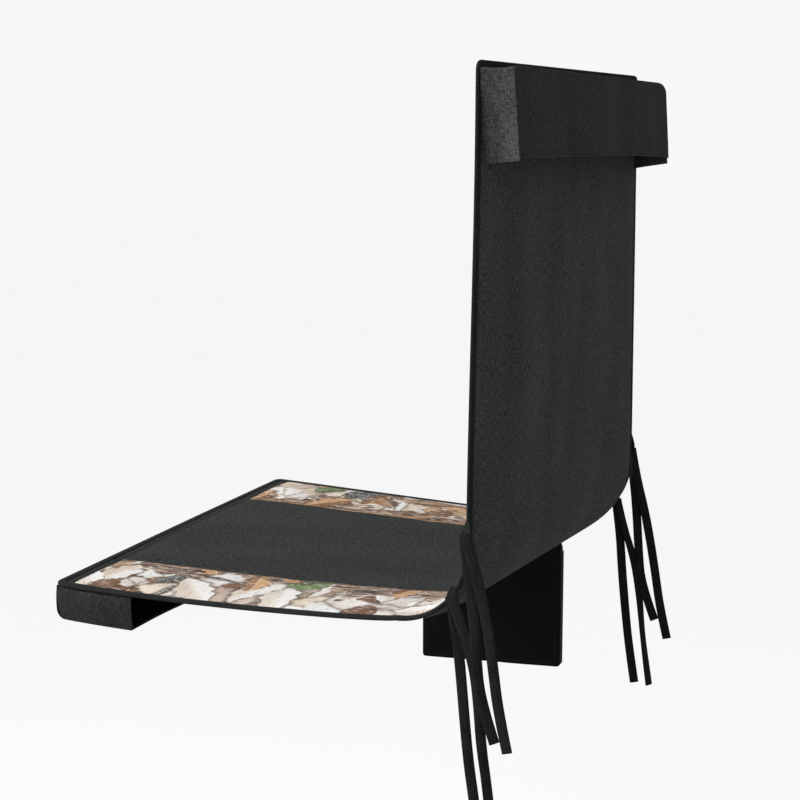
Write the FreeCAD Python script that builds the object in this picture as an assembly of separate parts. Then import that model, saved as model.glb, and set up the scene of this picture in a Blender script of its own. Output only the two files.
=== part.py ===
import FreeCAD, Part

import math
import os

# Removable padded cover for the seat and backrest of a climbing tree stand, in millimetres.
# The sitter faces -Y, +X is at the sitter's left hand, and +Z is up.  The origin is on the
# cover's middle line, where the top plane of the seat and the front plane of the back meet.

# ---- driving dimensions ----
HALF_WIDTH = 232.0
SEAT_DEPTH = 470.0
BACK_HEIGHT = 512.0
BACK_TOP_HALF = 226.0
SHOULDER_HEIGHT = 110.0
BEND_RADIUS = 75.0
PAD_THICKNESS = 6.5
CLOTH_THICKNESS = 0.6
FRONT_CORNER_RADIUS = 14.0
TOP_CORNER_RADIUS = 20.0

BINDING_THICKNESS = 0.8
BINDING_WIDTH = 8.0
CAMO_INNER_EDGE = 132.0
FRONT_BAND_DEPTH = 18.0

SLEEVE_CLOTH = 1.2
SLEEVE_HEM_WIDTH = 6.0
SLEEVE_HEM_THICKNESS = 0.8
HEAD_SLEEVE_HALF = 217.8
HEAD_SLEEVE_TOP = 503.6
HEAD_SLEEVE_BOTTOM = 422.0
HEAD_SLEEVE_TOP_REACH = 37.0
HEAD_SLEEVE_BOTTOM_REACH = 43.0
HEAD_BAND_CORNER = 12.0
FRONT_SLEEVE_HALF = 229.0
FRONT_SLEEVE_FRONT = -469.2
FRONT_SLEEVE_MOUTH = -376.0
FRONT_SLEEVE_BOTTOM = -39.2
FRONT_SLEEVE_RADIUS = 14.0
FRONT_GUSSET_INSET = 1.2

POUCH_FRONT = -256.0
POUCH_REAR = -77.0
POUCH_BOTTOM = -190.0
POUCH_TOP = -8.6
POUCH_MOUTH = -40.0
POUCH_OUTER_FACE = -228.0
POUCH_INNER_FACE = -216.4
POUCH_CLOTH = 1.2
POUCH_CORNER = 10.0
POUCH_HANGER_HEIGHT = 12.0
POUCH_HANGER_EXTRA = 0.6

RIBBON_WIDTH = 10.0
RIBBON_THICKNESS = 1.2
RUN_SHARE = 0.45
TAB_SIZE = 12.0
UPPER_TAB_THICKNESS = 4.6
LOWER_TAB_THICKNESS = 1.6
TAB_GAP = 0.4
UPPER_TIE_Y = 0.0
UPPER_TIE_Z = 88.0
LOWER_TIE_Y = -15.0
LOWER_TIE_Z = 27.0

# Every tie hangs in a plane of constant X.  Each list holds the points of one strand as
# (y, z), from where it is sewn on down to its free end.  "outer" is the strand that lies
# further from the cover's side.
TIE_ROUTES = {
    ("left", "upper", "inner"): [(-1, 88), (3, 52), (9, 12), (12, -26), (17, -68), (31, -107)],
    ("left", "upper", "outer"): [(1, 88), (13, 48), (23, 6), (29, -32), (35, -76), (44, -114)],
    ("left", "lower", "inner"): [
        (-16, 27), (-9, -6), (-5, -42), (-1, -86), (4, -132), (10, -170), (13, -195)],
    ("left", "lower", "outer"): [
        (-14, 27), (-3, -2), (9, -36), (14, -74), (17, -112), (24, -154), (28, -193)],
    ("right", "upper", "inner"): [(-1, 88), (5, 48), (9, 8), (12, -32), (17, -74), (33, -113)],
    ("right", "upper", "outer"): [
        (1, 88), (8, 54), (18, 16), (26, -22), (33, -60), (39, -98), (48, -134)],
    ("right", "lower", "inner"): [(-16, 27), (-10, -12), (-7, -56), (-2, -102), (4, -150), (11, -191)],
    ("right", "lower", "outer"): [
        (-14, 27), (-6, -4), (8, -44), (15, -84), (19, -124), (24, -160), (29, -192)],
}
# middle plane of each ribbon of a pair, counted outwards from the tab in ribbon thicknesses
RIBBON_LAYERS = {"inner": 0.5, "outer": 1.5}

SIDES = {"left": 1.0, "right": -1.0}


# ---- helpers ----
def vector(x, y, z):
    return FreeCAD.Vector(x, y, z)


def seat_plane(height):
    """Places outline points (x, y) at one height."""
    return lambda u, v: vector(u, v, height)


def back_plane(depth):
    """Places outline points (x, z) at one depth."""
    return lambda u, v: vector(u, depth, v)


def side_plane(x):
    """Places outline points (y, z) at one distance to the side."""
    return lambda u, v: vector(x, u, v)


def rounded_face(corners, place):
    """Flat face through corners given as (u, v, radius), each rounded by its own arc."""
    stretches = []
    for number, (u, v, radius) in enumerate(corners):
        before = corners[number - 1]
        after = corners[(number + 1) % len(corners)]
        corner = vector(u, v, 0)
        to_before = (vector(before[0], before[1], 0) - corner).normalize()
        to_after = (vector(after[0], after[1], 0) - corner).normalize()
        half_angle = to_before.getAngle(to_after) / 2
        reach = radius / math.tan(half_angle)
        inward = (to_before + to_after).normalize() if radius else vector(0, 0, 0)
        middle = corner + inward * (radius / math.sin(half_angle) - radius)
        stretches.append([corner + to_before * reach, middle, corner + to_after * reach])
    placed = [[place(point.x, point.y) for point in stretch] for stretch in stretches]
    edges = []
    for number, (start, middle, end) in enumerate(placed):
        if corners[number][2]:
            edges.append(Part.Arc(start, middle, end).toShape())
        next_start = placed[(number + 1) % len(placed)][0]
        edges.append(Part.LineSegment(end, next_start).toShape())
    return Part.Face(Part.Wire(edges))


def slab(corners, place, thickness):
    """Rounded outline given a thickness along its own plane's axis."""
    return rounded_face(corners, place).extrude(thickness)


def block(low, high):
    """Box between two opposite corners."""
    size = [b - a for a, b in zip(low, high)]
    return Part.makeBox(size[0], size[1], size[2], vector(*low))


def mirrored(shape):
    """The same shape on the other side of the cover's middle plane."""
    return shape.mirror(vector(0, 0, 0), vector(1, 0, 0))


def on_side(shape, side):
    """A shape made for the left side, moved to the side that is asked for."""
    return shape if side == "left" else mirrored(shape)


def edge_binding(outline, place, axis, low, high, overhang):
    """C-shaped tape round an outline: a block, less the pad in it and less its middle.

    outline(inset, overhang) gives the corners, low and high are the pad's two faces, and
    overhang runs the cutters past the open end of the pad.
    """
    thick = high - low + 2 * BINDING_THICKNESS
    outer = slab(outline(0, 0), place(low - BINDING_THICKNESS), axis * thick)
    middle = slab(outline(BINDING_WIDTH, overhang), place(low - BINDING_THICKNESS), axis * thick)
    pad = slab(outline(BINDING_THICKNESS, overhang), place(low), axis * (high - low))
    return outer.cut(middle).cut(pad)


# ---- seat ----
def seat_outline(inset, overhang):
    """Corners (x, y, radius) of the seat, open at the rear where the bend begins."""
    half = HALF_WIDTH - inset
    front = -SEAT_DEPTH + inset
    rear = -BEND_RADIUS + overhang
    radius = FRONT_CORNER_RADIUS - inset
    return [(-half, front, radius), (half, front, radius), (half, rear, 0), (-half, rear, 0)]


def seat_layer(low, thickness):
    """One whole layer of the seat's pad, inside its binding."""
    return slab(seat_outline(BINDING_THICKNESS, 0), seat_plane(low), vector(0, 0, thickness))


def seat_parts():
    parts = {}
    foam_height = PAD_THICKNESS - 2 * CLOTH_THICKNESS
    parts["seat_foam"] = seat_layer(CLOTH_THICKNESS - PAD_THICKNESS, foam_height)
    parts["seat_lining"] = seat_layer(-PAD_THICKNESS, CLOTH_THICKNESS)
    top_cloth = seat_layer(-CLOTH_THICKNESS, CLOTH_THICKNESS)
    band_rear = -SEAT_DEPTH + FRONT_BAND_DEPTH
    front_zone = block((-HALF_WIDTH, -SEAT_DEPTH, -1), (HALF_WIDTH, band_rear, 1))
    centre_zone = block((-CAMO_INNER_EDGE, band_rear, -1), (CAMO_INNER_EDGE, 0, 1))
    camo_zone = block((CAMO_INNER_EDGE, band_rear, -1), (HALF_WIDTH, 0, 1))
    parts["seat_front_band"] = top_cloth.common(front_zone)
    parts["seat_centre_panel"] = top_cloth.common(centre_zone)
    parts["seat_camo_left"] = top_cloth.common(camo_zone)
    parts["seat_camo_right"] = mirrored(parts["seat_camo_left"])
    parts["seat_binding"] = edge_binding(
        seat_outline, seat_plane, vector(0, 0, 1), -PAD_THICKNESS, 0, BINDING_WIDTH)
    return parts


# ---- sleeve under the seat's front edge, open to the rear ----
def front_sleeve_profile(inset):
    """Corners (y, z, radius) of the space the sleeve encloses, seen from the side."""
    top = -PAD_THICKNESS - BINDING_THICKNESS
    front = FRONT_SLEEVE_FRONT + inset
    bottom = FRONT_SLEEVE_BOTTOM + inset
    radius = FRONT_SLEEVE_RADIUS - inset
    return [(front, top, 0), (FRONT_SLEEVE_MOUTH, top, 0),
            (FRONT_SLEEVE_MOUTH, bottom, 0), (front, bottom, radius)]


def front_sleeve_parts():
    parts = {}
    half = FRONT_SLEEVE_HALF
    width = vector(2 * half, 0, 0)
    outside = slab(front_sleeve_profile(0), side_plane(-half), width)
    inside = slab(front_sleeve_profile(SLEEVE_CLOTH), side_plane(-half), width)
    parts["front_sleeve_panel"] = outside.cut(inside)
    gusset_place = side_plane(half - FRONT_GUSSET_INSET - SLEEVE_CLOTH)
    gusset_profile = front_sleeve_profile(SLEEVE_CLOTH)
    gusset = slab(gusset_profile, gusset_place, vector(SLEEVE_CLOTH, 0, 0))
    parts["front_sleeve_gusset_left"] = gusset
    parts["front_sleeve_gusset_right"] = mirrored(gusset)
    hem_half = half - FRONT_GUSSET_INSET - SLEEVE_CLOTH
    hem_low = FRONT_SLEEVE_BOTTOM + SLEEVE_CLOTH
    parts["front_sleeve_hem"] = block(
        (-hem_half, FRONT_SLEEVE_MOUTH - SLEEVE_HEM_WIDTH, hem_low),
        (hem_half, FRONT_SLEEVE_MOUTH, hem_low + SLEEVE_HEM_THICKNESS))
    return parts


# ---- back ----
def back_outline(inset, overhang):
    """Corners (x, z, radius) of the back, open at the bottom where the bend begins."""
    half = HALF_WIDTH - inset
    top_half = BACK_TOP_HALF - inset
    top = BACK_HEIGHT - inset
    bottom = BEND_RADIUS - overhang
    radius = TOP_CORNER_RADIUS - inset
    right_side = [(half, bottom, 0), (half, SHOULDER_HEIGHT, 0), (top_half, top, radius)]
    left_side = [(-top_half, top, radius), (-half, SHOULDER_HEIGHT, 0), (-half, bottom, 0)]
    return right_side + left_side


def back_layer(depth, thickness):
    """One whole layer of the back's pad, inside its binding."""
    return slab(back_outline(BINDING_THICKNESS, 0), back_plane(depth), vector(0, thickness, 0))


def back_parts():
    parts = {}
    parts["back_foam"] = back_layer(CLOTH_THICKNESS, PAD_THICKNESS - 2 * CLOTH_THICKNESS)
    parts["back_rear_panel"] = back_layer(PAD_THICKNESS - CLOTH_THICKNESS, CLOTH_THICKNESS)
    front_cloth = back_layer(0, CLOTH_THICKNESS)
    centre_zone = block((-CAMO_INNER_EDGE, -1, 0), (CAMO_INNER_EDGE, 1, BACK_HEIGHT))
    camo_zone = block((CAMO_INNER_EDGE, -1, 0), (HALF_WIDTH, 1, BACK_HEIGHT))
    parts["back_centre_panel"] = front_cloth.common(centre_zone)
    parts["back_camo_left"] = front_cloth.common(camo_zone)
    parts["back_camo_right"] = mirrored(parts["back_camo_left"])
    parts["back_binding"] = edge_binding(
        back_outline, back_plane, vector(0, 1, 0), 0, PAD_THICKNESS, BINDING_WIDTH)
    return parts


# ---- sleeve behind the back's top edge, open downwards ----
def head_sleeve_parts():
    parts = {}
    half = HEAD_SLEEVE_HALF
    rear = PAD_THICKNESS
    low = HEAD_SLEEVE_BOTTOM
    high = HEAD_SLEEVE_TOP
    top_reach = HEAD_SLEEVE_TOP_REACH
    low_reach = HEAD_SLEEVE_BOTTOM_REACH
    band_corners = [(top_reach, high, 0), (top_reach + SLEEVE_CLOTH, high, 0),
                    (low_reach + SLEEVE_CLOTH, low, 0), (low_reach, low, 0)]
    band = slab(band_corners, side_plane(-half), vector(2 * half, 0, 0))
    front_view = [(-half, low, 0), (half, low, 0),
                  (half, high, HEAD_BAND_CORNER), (-half, high, HEAD_BAND_CORNER)]
    band_depth = low_reach + 2 * SLEEVE_CLOTH
    trimmed = slab(front_view, back_plane(0), vector(0, band_depth, 0))
    parts["head_sleeve_band"] = band.common(trimmed)
    ceiling_low = high - SLEEVE_CLOTH
    slope = (low_reach - top_reach) / (high - low)
    ceiling_reach = top_reach + slope * SLEEVE_CLOTH
    top_half = half - HEAD_BAND_CORNER
    ceiling = [(rear, high, 0), (top_reach, high, 0),
               (ceiling_reach, ceiling_low, 0), (rear, ceiling_low, 0)]
    parts["head_sleeve_top"] = slab(ceiling, side_plane(-top_half), vector(2 * top_half, 0, 0))
    overcut = 1.0
    side_view = [(top_half - overcut, low, 0), (half, low, 0),
                 (half, high, HEAD_BAND_CORNER), (top_half - overcut, high, 0)]
    inner_view = [(top_half - overcut, low - overcut, 0), (half - SLEEVE_CLOTH, low - overcut, 0),
                  (half - SLEEVE_CLOTH, ceiling_low, HEAD_BAND_CORNER - SLEEVE_CLOTH),
                  (top_half - overcut, ceiling_low, 0)]
    whole_side = [(rear, high, 0), (top_reach, high, 0), (low_reach, low, 0), (rear, low, 0)]
    wall = slab(whole_side, side_plane(top_half), vector(half - top_half, 0, 0))
    wall = wall.common(slab(side_view, back_plane(0), vector(0, band_depth, 0)))
    wall = wall.cut(slab(inner_view, back_plane(0), vector(0, band_depth, 0)))
    parts["head_sleeve_gusset_left"] = wall
    parts["head_sleeve_gusset_right"] = mirrored(wall)
    hem_half = half - 2 * SLEEVE_CLOTH
    hem_rise = slope * SLEEVE_HEM_WIDTH
    hem_profile = [(low_reach, low, 0), (low_reach - hem_rise, low + SLEEVE_HEM_WIDTH, 0),
                   (low_reach - hem_rise - SLEEVE_HEM_THICKNESS, low + SLEEVE_HEM_WIDTH, 0),
                   (low_reach - SLEEVE_HEM_THICKNESS, low, 0)]
    parts["head_sleeve_hem"] = slab(hem_profile, side_plane(-hem_half), vector(2 * hem_half, 0, 0))
    return parts


# ---- the soft bend between the seat and the back ----
def quarter_ring(inner_radius, outer_radius, low_x, high_x):
    """Quarter of a tube lying along X, from the seat's plane up to the back's plane."""
    centre = vector(low_x, -BEND_RADIUS, BEND_RADIUS)
    length = high_x - low_x
    outer = Part.makeCylinder(outer_radius, length, centre, vector(1, 0, 0))
    inner = Part.makeCylinder(inner_radius, length, centre, vector(1, 0, 0))
    quarter = block((low_x, -BEND_RADIUS, BEND_RADIUS - outer_radius),
                    (high_x, outer_radius - BEND_RADIUS, BEND_RADIUS))
    return outer.cut(inner).common(quarter)


def bend_parts():
    parts = {}
    pad_half = HALF_WIDTH - BINDING_THICKNESS
    outer_radius = BEND_RADIUS + PAD_THICKNESS
    parts["bend_panel"] = quarter_ring(BEND_RADIUS, outer_radius, -pad_half, pad_half)
    tape = quarter_ring(
        BEND_RADIUS - BINDING_THICKNESS, outer_radius + BINDING_THICKNESS,
        HALF_WIDTH - BINDING_WIDTH, HALF_WIDTH)
    tape = tape.cut(parts["bend_panel"])
    parts["bend_binding_left"] = tape
    parts["bend_binding_right"] = mirrored(tape)
    return parts


# ---- pouch hanging under the right side of the seat ----
def pouch_outline(inset, overhang):
    """Corners (y, z, radius) of the pouch, open at the top."""
    front = POUCH_FRONT - BINDING_THICKNESS + inset
    rear = POUCH_REAR + BINDING_THICKNESS - inset
    bottom = POUCH_BOTTOM - BINDING_THICKNESS + inset
    top = POUCH_MOUTH + overhang
    radius = POUCH_CORNER - inset
    return [(front, bottom, radius), (rear, bottom, radius), (rear, top, 0), (front, top, 0)]


def pouch_parts():
    parts = {}
    outer_x = POUCH_OUTER_FACE
    inner_x = POUCH_INNER_FACE - POUCH_CLOTH
    cloth = vector(POUCH_CLOTH, 0, 0)
    rise = POUCH_TOP - POUCH_MOUTH
    parts["pouch_outer_panel"] = slab(
        pouch_outline(BINDING_THICKNESS, 0), side_plane(outer_x), cloth)
    parts["pouch_inner_panel"] = slab(
        pouch_outline(BINDING_THICKNESS, rise), side_plane(inner_x), cloth)
    parts["pouch_binding"] = edge_binding(
        pouch_outline, side_plane, vector(1, 0, 0), outer_x, POUCH_INNER_FACE, BINDING_WIDTH)
    hem_front = POUCH_FRONT + BINDING_WIDTH
    hem_rear = POUCH_REAR - BINDING_WIDTH
    parts["pouch_mouth_hem"] = block(
        (outer_x - BINDING_THICKNESS, hem_front, POUCH_MOUTH - BINDING_WIDTH),
        (outer_x, hem_rear, POUCH_MOUTH))
    parts["pouch_hanger"] = block(
        (POUCH_INNER_FACE, POUCH_FRONT, POUCH_TOP - POUCH_HANGER_HEIGHT),
        (POUCH_INNER_FACE + POUCH_HANGER_EXTRA, POUCH_REAR, POUCH_TOP))
    return parts


# ---- ties ----
def tie_tab(centre_y, centre_z, thickness):
    """Square patch sewn on the side of the binding, which a pair of ties hangs from."""
    half = TAB_SIZE / 2
    return block((HALF_WIDTH, centre_y - half, centre_z - half),
                 (HALF_WIDTH + thickness, centre_y + half, centre_z + half))


def tie_path(points, x):
    """Straight runs joined by tangent arcs; also gives the path's length and its radii."""
    corners = [vector(x, y, z) for y, z in points]
    edges = []
    radii = []
    start = corners[0]
    for before, corner, after in zip(corners, corners[1:], corners[2:]):
        to_before = before - corner
        to_after = after - corner
        half_turn = (math.pi - to_before.getAngle(to_after)) / 2
        shorter = min(to_before.Length, to_after.Length)
        reach = RUN_SHARE * shorter
        radius = reach / math.tan(half_turn)
        first = corner + to_before.normalize() * reach
        last = corner + to_after.normalize() * reach
        inward = (to_before + to_after).normalize()
        middle = corner + inward * (radius / math.cos(half_turn) - radius)
        edges.append(Part.LineSegment(start, first).toShape())
        edges.append(Part.Arc(first, middle, last).toShape())
        radii.append(radius)
        start = last
    edges.append(Part.LineSegment(start, corners[-1]).toShape())
    return Part.Wire(edges), radii


def tie_strand(name, points, x):
    """Flat ribbon swept along its path, lying in a plane of constant X."""
    path, radii = tie_path(points, x)
    heading = path.Edges[0].tangentAt(path.Edges[0].FirstParameter)
    across = heading.cross(vector(1, 0, 0)).normalize() * (RIBBON_WIDTH / 2)
    through = vector(RIBBON_THICKNESS / 2, 0, 0)
    start = vector(x, points[0][0], points[0][1])
    ring = [start + across + through, start - across + through,
            start - across - through, start + across - through]
    section = Part.makePolygon(ring + ring[:1])
    strand = path.makePipeShell([section], True, False)
    expected = RIBBON_WIDTH * RIBBON_THICKNESS * path.Length
    print(name, "length", round(path.Length, 1), "volume / (section x length)",
          round(strand.Volume / expected, 4), "radii", [round(radius) for radius in radii])
    return strand


def tie_parts():
    parts = {}
    tabs = {"upper": tie_tab(UPPER_TIE_Y, UPPER_TIE_Z, UPPER_TAB_THICKNESS),
            "lower": tie_tab(LOWER_TIE_Y, LOWER_TIE_Z, LOWER_TAB_THICKNESS)}
    standoff = {"upper": UPPER_TAB_THICKNESS, "lower": LOWER_TAB_THICKNESS}
    for side in SIDES:
        for level, tab in tabs.items():
            parts[f"tie_tab_{side}_{level}"] = on_side(tab, side)
    for (side, level, layer), points in TIE_ROUTES.items():
        distance = HALF_WIDTH + standoff[level] + TAB_GAP + RIBBON_LAYERS[layer] * RIBBON_THICKNESS
        name = f"tie_{side}_{level}_{layer}"
        parts[name] = tie_strand(name, points, SIDES[side] * distance)
    return parts


def main():
    os.makedirs("parts", exist_ok=True)
    groups = [seat_parts(), front_sleeve_parts(), back_parts(), head_sleeve_parts(),
              bend_parts(), pouch_parts(), tie_parts()]
    for group in groups:
        for name, shape in group.items():
            if not shape.isValid() or shape.Volume <= 0:
                print("bad solid:", name, shape.Volume)
            shape.exportStep(f"parts/{name}.step")


main()
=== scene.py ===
import math

import bpy
import numpy as np
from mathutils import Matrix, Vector


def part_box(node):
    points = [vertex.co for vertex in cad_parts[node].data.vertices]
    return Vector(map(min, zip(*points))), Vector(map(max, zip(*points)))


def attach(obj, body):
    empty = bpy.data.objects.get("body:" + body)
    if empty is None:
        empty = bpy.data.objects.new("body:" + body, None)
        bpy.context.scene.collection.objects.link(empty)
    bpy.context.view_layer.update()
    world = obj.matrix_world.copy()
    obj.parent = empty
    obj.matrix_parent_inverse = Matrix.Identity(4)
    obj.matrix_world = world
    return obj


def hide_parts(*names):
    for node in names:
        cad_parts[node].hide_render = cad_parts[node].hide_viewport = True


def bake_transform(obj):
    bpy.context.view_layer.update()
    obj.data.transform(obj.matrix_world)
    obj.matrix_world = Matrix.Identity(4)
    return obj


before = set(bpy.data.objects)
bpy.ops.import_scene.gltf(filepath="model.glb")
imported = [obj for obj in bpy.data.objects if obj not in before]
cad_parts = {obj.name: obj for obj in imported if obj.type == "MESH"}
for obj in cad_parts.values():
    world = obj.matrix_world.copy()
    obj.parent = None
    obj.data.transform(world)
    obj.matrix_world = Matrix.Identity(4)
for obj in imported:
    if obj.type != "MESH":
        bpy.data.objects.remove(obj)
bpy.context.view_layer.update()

# A removable seat and backrest cover.  Lengths are metres.  x runs to the sitter's left, s runs along
# the cover from its front edge over the bend to its top edge, and rise is measured from the sitter's
# face of the pad, towards the sitter.

# ---- measures taken from the frame ----
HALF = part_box("seat_binding")[1][0]
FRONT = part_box("seat_binding")[0][1]
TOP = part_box("back_binding")[1][2]
BEND = -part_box("seat_foam")[1][1]
PAD = -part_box("seat_lining")[0][2]
CAMO_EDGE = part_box("seat_centre_panel")[1][0]
BAND_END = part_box("seat_front_band")[1][1] - FRONT
SEAT_RUN = -BEND - FRONT
ARC = BEND * math.pi / 2
LENGTH = SEAT_RUN + ARC + TOP - BEND

# ---- measures of the cloth itself ----
# Each sleeve piece starts at its own place on the weave, so that no two show the same patch.
BAND_WEAVE, WRAP_WEAVE, FRONT_WEAVE, HEM_WEAVE, GUSSET_WEAVE = 1.3, 2.1, 3.4, 3.9, 4.2
TOP_HALF = HALF - 0.006
SHOULDER = SEAT_RUN + ARC + 0.035
FRONT_CORNER = 0.009
TOP_CORNER = 0.009
CLOTH = 0.0006
SLEEVE_CLOTH = 0.0012
BINDING_REACH = 0.008
UNDER_BINDING = 0.0035
TWIST = math.radians(2.95)
SIDE_SAG = 0.0072
END_SAG = 0.0012
GATHER_REACH = 0.009
FACE_SWELL_REACH = 0.013
REAR_SWELL_REACH = 0.015
SEAM_WIDTH = 0.0024
BAND_SEAM_WIDTH = 0.0022
SEAM_DEPTH = 0.0009
FACE_CROWN = 0.0015
EDGE_THICKNESS = 0.0034
TOP_TILT = 0.0012
CELL = 0.0045
FOLD_GRID = 0.0075
FOLD_SLACK = 0.016
FOLD_PRESSURE = 1.5
SEAM_GAP = 0.0002
LINING_SHORT = 0.030
FOAM_INSET = 0.010
OUTLINE_PITCH = 0.0028
TUBE_PITCH = 0.004
SETTLING_FRAMES = 20


# =====================================================================================
# Meshes from arrays
# =====================================================================================
def grid_faces(rows, columns, first=0, round_rows=False, round_columns=False):
    """Four-sided faces of a grid of points counted row by row, as an array of point numbers."""
    row = np.arange(rows if round_rows else rows - 1)
    column = np.arange(columns if round_columns else columns - 1)
    row, column = np.meshgrid(row, column, indexing="ij")
    below, beside = (row + 1) % rows, (column + 1) % columns
    corners = [row * columns + column, row * columns + beside,
               below * columns + beside, below * columns + column]
    return first + np.stack(corners, -1).reshape(-1, 4)


def build(name, points, faces, weave, material, sharp=50):
    """Mesh object from points, a list of face arrays and a flat (u, v) place of each point in metres."""
    mesh = bpy.data.meshes.new(name)
    mesh.from_pydata(np.reshape(points, (-1, 3)), [], [face for block in faces for face in block.tolist()])
    corner_points = np.empty(len(mesh.loops), int)
    mesh.loops.foreach_get("vertex_index", corner_points)
    layer = mesh.uv_layers.new(name="weave")
    layer.data.foreach_set("uv", np.reshape(weave, (-1, 2))[corner_points].ravel())
    mesh.shade_smooth()
    mesh.set_sharp_from_angle(angle=math.radians(sharp))
    mesh.materials.append(material)
    mesh.validate()
    piece = bpy.data.objects.new(name, mesh)
    bpy.context.collection.objects.link(piece)
    return piece


def rim_faces(rows, columns):
    """Faces that join the edges of one grid to those of a second grid stored after it."""
    grid = np.arange(rows * columns).reshape(rows, columns)
    ring = np.concatenate([grid[0, :-1], grid[:-1, -1], grid[-1, :0:-1], grid[:0:-1, 0]])
    after = np.roll(ring, -1)
    far = rows * columns
    return np.stack([ring, ring + far, after + far, after], -1)


def cloth(name, face, reverse, weave, material, turned=False):
    """Closed sheet of cloth: a face grid, a reverse grid behind it, and a rim round both.  A turned one
    has its columns in the other order, which turns its faces over."""
    if turned:
        face, reverse, weave = face[:, ::-1], reverse[:, ::-1], weave[:, ::-1]
    rows, columns = face.shape[:2]
    front = grid_faces(rows, columns)
    back = grid_faces(rows, columns, first=rows * columns)[:, ::-1]
    points = np.concatenate([face.reshape(-1, 3), reverse.reshape(-1, 3)])
    flat = np.concatenate([weave.reshape(-1, 2)] * 2)
    return build(name, points, [front, back, rim_faces(rows, columns)], flat, material)


def loft(name, rings, weave, material, closed_path=False, sharp=50):
    """Skin over a row of equal closed rings, with flat ends unless the row closes on itself."""
    rows, columns = rings.shape[:2]
    faces = [grid_faces(rows, columns, round_rows=closed_path, round_columns=True)]
    if not closed_path:
        points = np.concatenate([rings.reshape(-1, 3), rings[:1].mean(1), rings[-1:].mean(1)])
        number = np.arange(columns)
        beside = (number + 1) % columns
        last = (rows - 1) * columns
        middle = np.full(columns, rows * columns)
        faces.append(np.stack([middle, beside, number], -1))
        faces.append(np.stack([middle + 1, last + number, last + beside], -1))
        weave = np.concatenate([weave.reshape(-1, 2), weave[:1].mean(1), weave[-1:].mean(1)])
    else:
        points = rings
    return build(name, points, faces, weave, material, sharp)


def joined(*parts):
    """Arrays stretched to one shape and set side by side along a last axis."""
    return np.stack(np.broadcast_arrays(*parts), -1)


def sideways(ahead):
    """Flat directions a quarter turn clockwise from the headings given."""
    return joined(ahead[:, 1], -ahead[:, 0])


def moved_in(line, outward, inward):
    """The two flat coordinates of a line moved in against its outward direction."""
    return line[..., 0] - outward[..., 0] * inward, line[..., 1] - outward[..., 1] * inward


def travel(line):
    """Distance along a line of points up to each of them."""
    return np.concatenate([[0], np.cumsum(np.linalg.norm(np.diff(line, axis=0), axis=1))])


def with_height(flat):
    """Flat points given a third coordinate of nothing."""
    return np.concatenate([flat, np.zeros((len(flat), 1))], 1)


def unit(vectors):
    """The same vectors at length one."""
    return vectors / np.maximum(np.linalg.norm(vectors, axis=-1, keepdims=True), 1e-12)


def spread(points, pitch):
    """Points at even distances along a line of points."""
    travelled = travel(points)
    wanted = np.linspace(0, travelled[-1], max(2, round(travelled[-1] / pitch) + 1))
    return np.stack([np.interp(wanted, travelled, points[:, axis]) for axis in range(3)], -1)


def smooth(value):
    """Eased step from 0 to 1."""
    value = np.clip(value, 0, 1)
    return value * value * (3 - 2 * value)


# =====================================================================================
# Materials
# =====================================================================================
def operator(operation, reflected=False):
    """Method that adds one Math node; a reflected one puts its own signal second."""
    def method(self, other=0.0):
        first, second = (other, self) if reflected else (self, other)
        return self.dye.add("ShaderNodeMath", {"operation": operation}, {0: first, 1: second})
    return method


class Signal:
    """A node's output that takes part in sums: each operator adds one Math node."""

    def __init__(self, dye, socket):
        self.dye, self.socket = dye, socket

    __add__ = operator("ADD")
    __radd__ = operator("ADD", reflected=True)
    __sub__ = operator("SUBTRACT")
    __rsub__ = operator("SUBTRACT", reflected=True)
    __mul__ = operator("MULTIPLY")
    __rmul__ = operator("MULTIPLY", reflected=True)
    __truediv__ = operator("DIVIDE")
    __pow__ = operator("POWER")
    __lt__ = operator("LESS_THAN")
    __abs__ = operator("ABSOLUTE")
    sine = operator("SINE")
    cosine = operator("COSINE")
    most = operator("MAXIMUM")
    least = operator("MINIMUM")


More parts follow.
